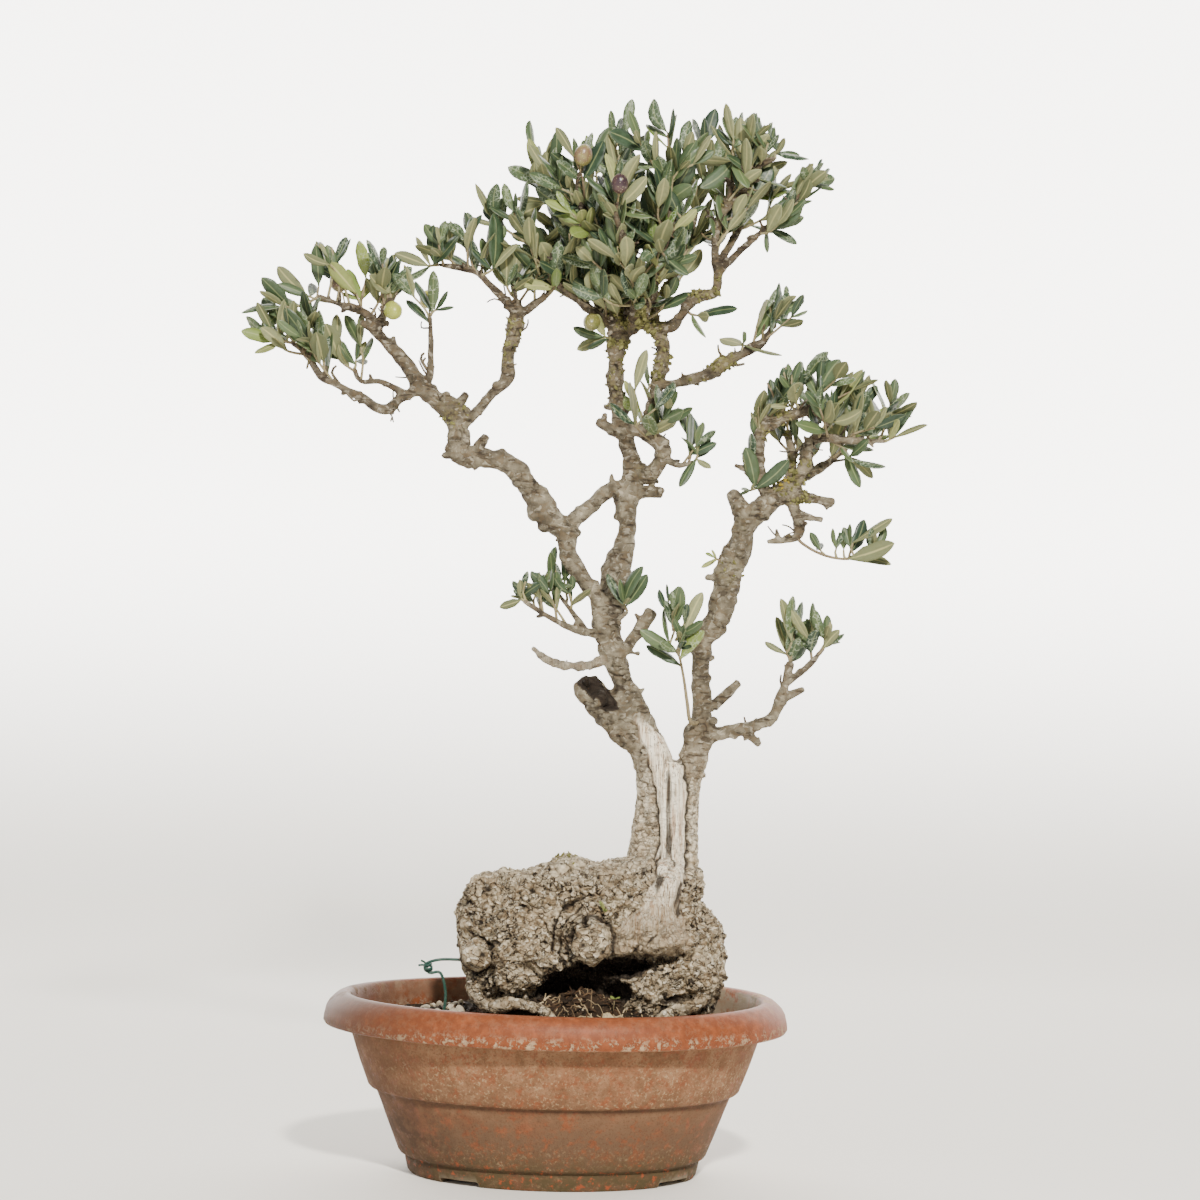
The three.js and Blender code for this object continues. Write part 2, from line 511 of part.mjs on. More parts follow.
// Leafy shoots: the limb and share along it that they grow from, then their
// outermost leaf tips as across, height, depth and, where given, leaf length.
const sprays = {
  left_end: [['stemLeft', 1], [[-240, 619, -44], [-226, 642, -52], [-218, 632, -24]]],
  left_top: [['stemLeft', 0.975], [[-214, 650, -20], [-203, 640, -58], [-187, 667, -42]]],
  left_bright: [['stemLeft', 0.935], [[-164, 651, -18], [-156, 671, -36], [-178, 655, -44]]],
  left_fork: [['upLeftFork', 1], [[-134, 658, -30], [-150, 646, -52], [-118, 652, -48]]],
  left_low: [['leftLower', 1], [[-239, 604, -56], [-222, 612, -36], [-206, 624, -66]]],
  left_low_inner: [['leftLowerSide', 1], [[-149, 597, -14], [-166, 598, -34]]],
  left_riser: [['darkRiser', 1], [[-91, 636, -44], [-114, 643, -30], [-102, 650, -52]]],
  mid_left_tip: [['leftShoot', 1], [[-130, 662, -26], [-104, 683, -38], [-94, 685, -16],
    [-85, 677, -44]]],
  mid_left_rise: [['leftShoot', 0.55], [[-57, 693, -34, 40], [-66, 676, -4]]],
  mid_left_fork: [['junctionRight', 1], [[-52, 675, -16], [-36, 662, 8], [-30, 650, -30]]],
  mid_left_twig: [['junctionTwig', 1], [[-11, 674, -24, 38], [-36, 640, -28]]],
  column_left: [['limbBack', 0.93], [[2, 612, -2], [12, 596, 4]]],
  column_spray: [['darkArm', 0.66], [[30, 558, -20], [45, 574, -28], [74, 573, -34],
    [77, 548, -16], [55, 597, -22]]],
  column_right: [['darkTwig', 1], [[92, 542, -12], [102, 530, 4], [80, 500, -18],
    [103, 512, -16]]],
  lichen_end: [['lichenBranch', 1], [[150, 648, -20], [158, 639, -34], [167, 638, -8],
    [166, 621, -26]]],
  lichen_mid: [['lichenBranch', 0.62], [[124, 612, -24], [108, 604, 6], [152, 593, -22]]],
  crown_low_right: [['crownRight', 0.2], [[119, 629, -14], [98, 609, -18]]],
  crown_left_tip: [['crownLeft', 1], [[-75, 713, -20], [-57, 714, -34], [-66, 698, 2]]],
  crown_left_low: [['crownLeft', 0.6], [[-46, 668, -24], [-30, 690, -34], [-8, 676, -28]]],
  crown_upper_left: [['crownUpLeft', 1], [[-36, 747, 22], [-33, 762, 34], [-15, 753, 12],
    [-50, 728, 40], [-42, 706, 30], [-26, 722, 52], [-48, 690, 8]]],
  crown_front_left: [['crownFrontLeft', 1], [[0, 749, -40], [10, 754, -20], [-18, 738, -50],
    [-26, 718, -40], [-16, 694, -44], [2, 700, -56], [-22, 674, -8]]],
  crown_top: [['crownCentre', 1], [[25, 770, -8], [39, 779, 4], [35, 766, 22],
    [50, 752, -14], [54, 730, -10], [20, 726, -20], [56, 712, 18]]],
  crown_top_right: [['crownFrontRight', 1], [[55, 779, -44], [70, 768, -52], [52, 762, -26],
    [86, 750, -50]]],
  crown_mid_right: [['crownFrontRight', 0.6], [[86, 722, -46], [54, 722, -52], [88, 700, -34]]],
  crown_back_right: [['crownBackRight', 1], [[82, 765, 52], [93, 766, 34], [100, 774, 50],
    [76, 752, 62], [106, 704, 50], [70, 712, 56], [108, 684, 36]]],
  crown_rear: [['crownBack', 1], [[8, 752, 66], [26, 758, 54], [38, 742, 70], [-8, 736, 62],
    [-10, 700, 60], [46, 706, 64], [6, 682, 66]]],
  crown_face: [['crownFront', 1], [[20, 738, -62], [44, 740, -68], [52, 722, -60],
    [8, 724, -60], [20, 694, -64], [56, 694, -58], [16, 672, -42], [62, 676, -40]]],
  crown_right_tip: [['crownRight', 1], [[108, 777, -22], [121, 771, -8], [131, 768, -28],
    [96, 760, -14], [84, 738, -14], [92, 716, -34], [126, 718, -36]]],
  crown_stub: [['crownStub', 1], [[141, 761, -16], [152, 753, -34], [162, 742, -14],
    [168, 740, -36]]],
  crown_stub_low: [['crownStub', 0.45], [[153, 735, -10], [131, 748, -6], [110, 740, -30]]],
  crown_far_right: [['crownFarRight', 1], [[180, 735, -30], [164, 732, -44], [188, 718, -20]]],
  crown_right_low: [['crownFarRight', 0.5], [[166, 696, -20], [141, 670, -24], [164, 704, -38],
    [132, 706, -36]]],
  crown_right_back: [['crownRightBack', 1], [[140, 738, 34], [118, 742, 32], [152, 716, 22]]],
  right_arm_tip: [['rightArm', 1], [[192, 571, -40], [212, 586, -34], [201, 582, -20],
    [212, 556, -44]]],
  right_arm_top: [['rightArm', 0.71], [[147, 572, -40], [162, 579, -24], [168, 590, -36],
    [187, 598, -30]]],
  right_end: [['rightRise', 1], [[249, 564, -36], [236, 573, -22], [240, 551, -48],
    [224, 562, -30]]],
  right_under: [['rightRise', 0.62], [[229, 519, -40], [221, 530, -20], [206, 520, -36],
    [213, 502, -26]]],
  right_back: [['rightBack', 1], [[231, 560, 34], [216, 560, 18], [232, 540, 16]]],
  right_inner: [['rightArm', 0.14], [[126, 498, -28], [128, 528, -34], [160, 520, -34]]],
  hanging: [['lowerHook', 0.66], [[216, 478, -22], [236, 478, -34], [238, 461, -44],
    [235, 445, -26], [190, 476, -36]]],
  low_right_tip: [['lowRight', 1], [[152, 405, -10], [155, 419, -24], [166, 421, -30],
    [176, 404, -8]]],
  low_right_fork: [['lowRightFork', 1], [[181, 411, -34], [193, 402, -22], [202, 395, -32],
    [200, 388, -18]]],
  low_left_tip: [['lowLeft', 1], [[-38, 421, -14], [-35, 429, -30], [-20, 425, -36],
    [-48, 408, -26]]],
  low_left_side: [['lowLeftSide', 1], [[-7, 453, -2], [3, 426, -18], [-16, 432, -14]]],
  low_centre: [['lowCentre', 1], [[40, 430, -18], [31, 435, -6], [55, 440, -20],
    [60, 434, -6]]],
  thin_shoot: [['stemRight', 0.2], [[73, 410, -30], [83, 426, -36], [99, 422, -24],
    [100, 394, -38], [55, 394, -32], [60, 384, -22]]],
  burl_shoot: [[36, 184, -40], [[32, 197, -58, 8], [41, 196, -57, 8], [38, 203, -52, 7]]],
  limb_shoot: [[118, 442, -8], [[101, 451, -18, 12], [98, 440, -12, 12]]],
};

// Long bare shoots pass through these points before their leaves begin.
const shootPaths = {
  thin_shoot: [[93, 328, -14], [90, 342, -18], [87, 360, -22], [83, 377, -26]],
  hanging: [[170, 460, -20], [180, 454, -24], [192, 450, -28], [204, 449, -30]],
};

function startOf(root) {
  return typeof root[0] === 'string' ? onLimb(...root) : place(...root);
}

// How far a point lies outside the bark of the nearest limb.
function barkGap(point) {
  let least = 1e9;
  for (const points of Object.values(limbs)) {
    for (let i = 0; i + 1 < points.length; i += 1) {
      const [xa, za, ra, ya] = points[i];
      const [xb, zb, rb, yb] = points[i + 1];
      const a = place(xa, za, ya);
      const along = place(xb, zb, yb).sub(a);
      const away = point.clone().sub(a);
      const share = Math.min(Math.max(away.dot(along) / along.lengthSq(), 0), 1);
      const gap = away.addScaledVector(along, -share).length() - ra - (rb - ra) * share;
      least = Math.min(least, gap);
    }
  }
  return least;
}

// The main stem of a spray runs from the limb to the foot of its first leaf.
function stemPlan(start, tipPoint, seed) {
  const random = seeded(seed);
  const tip = place(tipPoint[0], tipPoint[1], tipPoint[2]);
  const reach = tip.clone().sub(start);
  const room = reach.length();
  const wanted = tipPoint[3] ?? 25 + 9 * random();
  const bark = Math.max(0, -barkGap(start));
  const length = Math.max(Math.min(wanted, room * 0.85, room - bark - 4), room * 0.4);
  const heading = reach.clone().divideScalar(room);
  const lean = new THREE.Vector3(random() - 0.5, random() - 0.5, random() - 0.3);
  heading.addScaledVector(lean, 0.4).normalize();
  const foot = tip.clone().addScaledVector(heading, -length);
  const bow = new THREE.Vector3(random() - 0.5, random() - 0.5, random() - 0.5);
  const middle = start.clone().lerp(foot, 0.5);
  middle.addScaledVector(bow, start.distanceTo(foot) * 0.2);
  return { start, middle, foot, heading, length, tip };
}

// A stem that runs out into a blade: four corners to each ring.
function stemmedLeafGeometry(line, plan, face, bend, grow) {
  const side = plan.heading.clone().cross(face);
  const { length } = plan;
  const half = length * leafSlimness * 0.5;
  const thick = leafThickness * 0.5;
  const stations = line.map((point, index) => {
    const radius = shootRadius * (1.2 - (0.4 * index) / (line.length - 1));
    return [point, radius, radius];
  });
  for (const [share, width] of [[0.38, 0.92], [0.72, 0.9]]) {
    const point = plan.foot.clone().addScaledVector(plan.heading, share * length);
    point.addScaledVector(face, -bend * length * share * share);
    stations.push([point, half * width, thick]);
  }
  const rings = stations.map(([point, wide, deep]) => [
    point.clone().addScaledVector(side, wide + grow),
    point.clone().addScaledVector(face, -deep - grow),
    point.clone().addScaledVector(side, -wide - grow),
    point.clone().addScaledVector(face, deep + grow),
  ]);
  const tip = plan.tip.clone().addScaledVector(face, -bend * length);
  const start = line[0].clone().addScaledVector(plan.heading, -0.3);
  return closeRings(rings, start, tip);
}

function boxOf(solid) {
  const bounds = solid.boundingBox();
  const low = new THREE.Vector3(...bounds.min);
  const high = new THREE.Vector3(...bounds.max);
  return new THREE.Box3(low, high);
}

const kept = [];

function keep(owner, kind, solid, outer) {
  kept.push({ owner, kind, solid, outer: outer ?? solid, box: boxOf(solid) });
}

// A blade may touch its own stem, and its own spray's blades at their roots.
function isClear(solid, owner) {
  const box = boxOf(solid);
  return kept.every((other) => {
    const own = other.owner === owner;
    if (own && other.kind === 'stem') return true;
    if (!other.box.intersectsBox(box)) return true;
    return (own ? other.outer : other.solid).intersect(solid).isEmpty();
  });
}

// Cuts a spray clear of the wood, the fruit and every spray made before it.
function cutClear(solid, owner, before) {
  const box = boxOf(solid);
  let rest = solid;
  for (const other of kept) {
    if (other.owner === owner || !before.has(other.owner)) continue;
    if (!other.box.intersectsBox(box)) continue;
    rest = rest.subtract(other.solid);
  }
  return rest;
}

// ---- olives -------------------------------------------------------------
// Fruit: centre, radius, colour, then the limb and share its stalk hangs from.
const olives = {
  olive_1: [[-130, 621, -44], 6.5, 0x9aa23c, ['upLeftFork', 0.8]],
  olive_2: [[-105, 630, -22], 6, 0xb9b04a, ['darkRiser', 0.95]],
  olive_3: [[-170, 641, -30], 6.5, 0x5f4a45, ['stemLeft', 0.96]],
  olive_4: [[5, 737, -54], 6.5, 0x6f6a3f, ['fruitTwigLeft', 0.96]],
  olive_5: [[32, 717, -74], 6, 0x54323c, ['fruitTwigRight', 0.96]],
  olive_6: [[14, 616, -12], 6.2, 0x70753c, ['crownLeft', 0.22]],
};

function buildOlive([centre, radius, , root], grow) {
  const middle = place(...centre);
  const fruit = new THREE.IcosahedronGeometry(1, 1);
  fruit.scale(radius + grow, radius + grow, radius * 1.18 + grow);
  const start = onLimb(...root);
  const hang = start.clone().sub(middle).normalize();
  fruit.applyQuaternion(new THREE.Quaternion().setFromUnitVectors(
    new THREE.Vector3(0, 0, 1), hang.clone()));
  fruit.translate(middle.x, middle.y, middle.z);
  const bend = start.clone().lerp(middle, 0.45).add(new THREE.Vector3(0, 0, 1.5));
  const stalk = limbGeometry([start, bend, middle], [0.8, 0.8, 0.8].map((r) => r + grow), 3, 0);
  return toSolid(fruit).add(toSolid(stalk));
}

// ---- plant tie ----------------------------------------------------------
const tiePath = [[-54, 151, -22], [-82, 152, -27], [-95, 148, -26], [-92, 142, -24],
  [-84, 142, -24], [-80, 128, -24], [-81, 112, -24]];

function buildTie(grow) {
  const centres = tiePath.map((point) => place(...point));
  const cord = limbGeometry(centres, centres.map(() => 1.1 + grow), 4, 0.3);
  const knot = ballGeometry(-93, 146, -25, 3.6 + grow, 2.8 + grow, 3 + grow);
  return toSolid(cord).add(toSolid(knot));
}

// ---- putting the tree together ------------------------------------------
const wood = buildWood(0);
const woodClear = buildWood(clearance + 0.12);
const limbClear = Object.values(limbs).map((points) => {
  const centres = points.map(([x, z, , y]) => place(x, z, y));
  const radii = points.map((point) => point[2] + clearance + 0.12);
  const widest = Math.max(...points.map((point) => point[2]));
  return toSolid(limbGeometry(centres, radii, sidesFor(widest), 0.5));
});
limbClear.push(toSolid(burlGeometry(clearance + 0.12)));
limbClear.push(toSolid(trunkGeometry(clearance + 0.12)));
for (const solid of limbClear) {
  keep('wood', 'wood', solid);
}

const parts = new THREE.Group();
parts.name = 'olive_bonsai';

function addPart(name, solid, color, roughness) {
  const material = new THREE.MeshStandardMaterial({ color, roughness, metalness: 0 });
  const mesh = new THREE.Mesh(toGeometry(solid), material);
  mesh.name = name;
  parts.add(mesh);
}

for (const [name, olive] of Object.entries(olives)) {
  keep(name, 'fruit', buildOlive(olive, clearance));
}

// The same blade with its tip moved a little, for the later tries.
function nudged(plan, amount, random) {
  const shift = new THREE.Vector3(random() - 0.5, random() - 0.5, random() - 0.5);
  const tip = plan.tip.clone().addScaledVector(shift, amount);
  const heading = tip.clone().sub(plan.foot);
  const length = heading.length();
  return { ...plan, tip, heading: heading.divideScalar(length), length };
}

// Draws a face for a blade until it lies clear of everything kept so far.
function growLeaf(spray, line, wanted, seed) {
  for (let attempt = 0; attempt < 20; attempt += 1) {
    const random = seeded(seed + attempt);
    const plan = attempt < 7 ? wanted : nudged(wanted, 2 * (attempt - 5), random);
    const face = leafFace(plan.heading, random);
    const bend = 0.02 + 0.09 * random();
    const outer = plan.foot.clone().lerp(plan.tip, 0.22);
    const shortLength = plan.length * 0.78;
    const test = toSolid(leafGeometry(outer, plan.heading, face, shortLength, bend, clearance));
    if (isClear(test, spray.name)) {
      const whole = line
        ? stemmedLeafGeometry(line, plan, face, bend, clearance)
        : leafGeometry(plan.foot, plan.heading, face, plan.length, bend, clearance);
      keep(spray.name, 'leaf', toSolid(whole), test);
      spray.pieces.push(toSolid(line
        ? stemmedLeafGeometry(line, plan, face, bend, 0)
        : leafGeometry(plan.foot, plan.heading, face, plan.length, bend, 0)));
      return true;
    }
  }
  return false;
}

function pointOn(line, share) {
  const step = share * (line.length - 1);
  const index = Math.min(Math.floor(step), line.length - 2);
  return line[index].clone().lerp(line[index + 1], step - index);
}

// Where on the main stem a further leaf with this tip would grow.
function leafRoot(line, tip, used) {
  let best = null;
  let cost = 1e9;
  for (let k = 2; k <= 24; k += 1) {
    const share = k / 24;
    const point = pointOn(line, share);
    if (barkGap(point) < 1) continue;
    const ahead = pointOn(line, Math.min(share + 0.04, 1)).sub(pointOn(line, share - 0.04));
    const reach = tip.clone().sub(point);
    const forward = reach.dot(ahead) / (reach.length() * ahead.length());
    const crowd = used.some((other) => Math.abs(other - share) < 0.03) ? 8 : 0;
    const value = Math.abs(reach.length() - leafReach) + 14 * (1 - forward) + crowd;
    if (value < cost) {
      cost = value;
      best = { share, point };
    }
  }
  return best;
}

const grown = Object.entries(sprays).map(([name, [root, tips]], sprayIndex) => {
  const start = startOf(root);
  const seed = sprayIndex * 1000 + 11;
  const bare = (shootPaths[name] ?? []).map((point) => place(...point));
  const from = bare.at(-1) ?? start;
  const plan = stemPlan(from, tips[0], seed);
  const line = [start, ...bare, plan.middle, plan.foot];
  const radii = line.map((_, index) => shootRadius * (index === 0 ? 1.6 : 1.3));
  const wide = limbGeometry(line, radii.map((radius) => radius + clearance), 4, 0.5);
  keep(name, 'stem', toSolid(wide));
  return { name, plan, line, seed, tips, used: [], pieces: [] };
});

for (const spray of grown) {
  growLeaf(spray, spray.line, spray.plan, spray.seed);
}

for (const spray of grown) {
  for (const [index, tipPoint] of spray.tips.entries()) {
    if (index === 0) continue;
    const tip = place(tipPoint[0], tipPoint[1], tipPoint[2]);
    const root = leafRoot(spray.line, tip, spray.used);
    if (!root) continue;
    spray.used.push(root.share);
    const seed = spray.seed + index * 40;
    const heading = tip.clone().sub(root.point);
    const reach = heading.length();
    heading.divideScalar(reach);
    if (reach <= longestLeaf) {
      growLeaf(spray, null, { foot: root.point, heading, length: reach, tip }, seed);
    } else {
      const plan = stemPlan(root.point, tipPoint, seed);
      growLeaf(spray, [root.point, plan.foot], plan, seed);
    }
  }
}

// Side leaves, two by two, fill the stems between the leaves that are named.
for (const spray of grown) {
  const { line, seed, plan } = spray;
  const pairs = spray.tips.length > 4 ? 0 : 1;
  for (let pair = 0; pair < pairs; pair += 1) {
    const random = seeded(seed + 900 + pair);
    const share = 0.97 - 0.3 * pair - 0.12 * random();
    const foot = pointOn(line, share);
    if (barkGap(foot) < 1) continue;
    const turn = plan.heading.clone().cross(new THREE.Vector3(0, 0.4, 1)).normalize();
    turn.applyAxisAngle(plan.heading, random() * 6.28);
    for (const way of [1, -1]) {
      const heading = plan.heading.clone().multiplyScalar(0.7).addScaledVector(turn, 0.7 * way);
      heading.normalize();
      const length = Math.min(plan.length, 28) * (0.75 + 0.2 * random());
      const tip = foot.clone().addScaledVector(heading, length);
      growLeaf(spray, null, { foot, heading, length, tip }, seed + 500 + pair * 80 + way * 20);
    }
  }
}

const tie = buildTie(0);
const tieClear = buildTie(clearance + 0.1);
addPart('pot', buildPot(), 0x9a5b43, 0.8);
addPart('soil', largestBody(buildSoil().subtract(woodClear).subtract(tieClear)), 0x4a3a2c, 1);
addPart('wood', wood, 0x9b8a76, 0.95);
addPart('plant_tie', largestBody(tie.subtract(woodClear)), 0x2f5a45, 0.6);
const before = new Set(['wood']);
for (const [name, olive] of Object.entries(olives)) {
  addPart(name, largestBody(cutClear(buildOlive(olive, 0), name, before)), olive[2], 0.45);
}
for (const name of Object.keys(olives)) {
  before.add(name);
}
for (const spray of grown) {
  const leafy = cutClear(joinAll(spray.pieces), spray.name, before);
  addPart(`spray_${spray.name}`, largestBody(leafy), 0x6d7a55, 0.7);
  before.add(spray.name);
}

export default parts;
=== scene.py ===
# Olive bonsai in an oval pot: the visible model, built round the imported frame.
# Lengths are in millimetres in the tables and in metres in the meshes.
import math
import bmesh
import bpy
import numpy as np
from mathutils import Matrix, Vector


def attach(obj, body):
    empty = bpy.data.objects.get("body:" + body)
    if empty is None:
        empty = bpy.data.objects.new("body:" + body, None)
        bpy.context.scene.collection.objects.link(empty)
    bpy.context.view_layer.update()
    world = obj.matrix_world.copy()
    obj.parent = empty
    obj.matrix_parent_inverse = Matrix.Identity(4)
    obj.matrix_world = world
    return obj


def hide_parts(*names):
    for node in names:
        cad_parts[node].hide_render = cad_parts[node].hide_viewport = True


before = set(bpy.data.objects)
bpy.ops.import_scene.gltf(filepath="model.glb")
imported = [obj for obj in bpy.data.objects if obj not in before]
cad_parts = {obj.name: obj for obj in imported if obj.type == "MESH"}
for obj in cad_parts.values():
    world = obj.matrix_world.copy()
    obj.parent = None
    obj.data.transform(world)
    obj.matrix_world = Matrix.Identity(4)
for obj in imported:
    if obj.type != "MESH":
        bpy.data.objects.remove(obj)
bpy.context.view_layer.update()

MM = 0.001
# The camera: its distance and place in millimetres, its roll, and its focal length in pixels.
VIEW_DISTANCE, VIEW_HEIGHT, VIEW_SIDE = 2250.0, 415.0, 25.0
CAMERA_ROLL = -1.4
FOCAL_PIXELS, FRAME_PIXELS, SENSOR = 3105, 1200, 36
# How much the pot's oval is squashed, and the soil's edge: its height and its half axes.
POT_SQUASH = 0.75
SOIL_EDGE = 107.0
SOIL_WIDE, SOIL_DEEP = 143, 106
SOIL_BOTTOM = 7.4
# How far the burl's broad lumps stand out.
BARK_LUMP = 3.2
# The solids' leaves: half width over length, the usual length and the greatest one.
LEAF_SLIMNESS = 0.29
LEAF_REACH = 29.0
LONGEST_LEAF = 37.0
SHOOT_RADIUS = 1.05
WALL_GLOW = 5.2
# The wood's voxel, the heights it is cut at, and the fewest corners of a bit that is kept.
WOOD_VOXEL = 0.88
WOOD_CUTS = [152, 205, 470]
CRUMB = 60
SEEDS = {"litter": 11, "knobs": 23, "olives": 40, "sprout": 71, "lichen": 83, "sprays": 500,
    "shoots": 900, "twigs": 1300}
# The pieces of the wood, from the foot up, and the share of its triangles that each keeps.
THINNED = {"wood_burl_foot": 0.8, "wood_burl_top": 0.9, "wood_trunk_and_stems": 0.62,
    "wood_upper_limbs": 0.46}

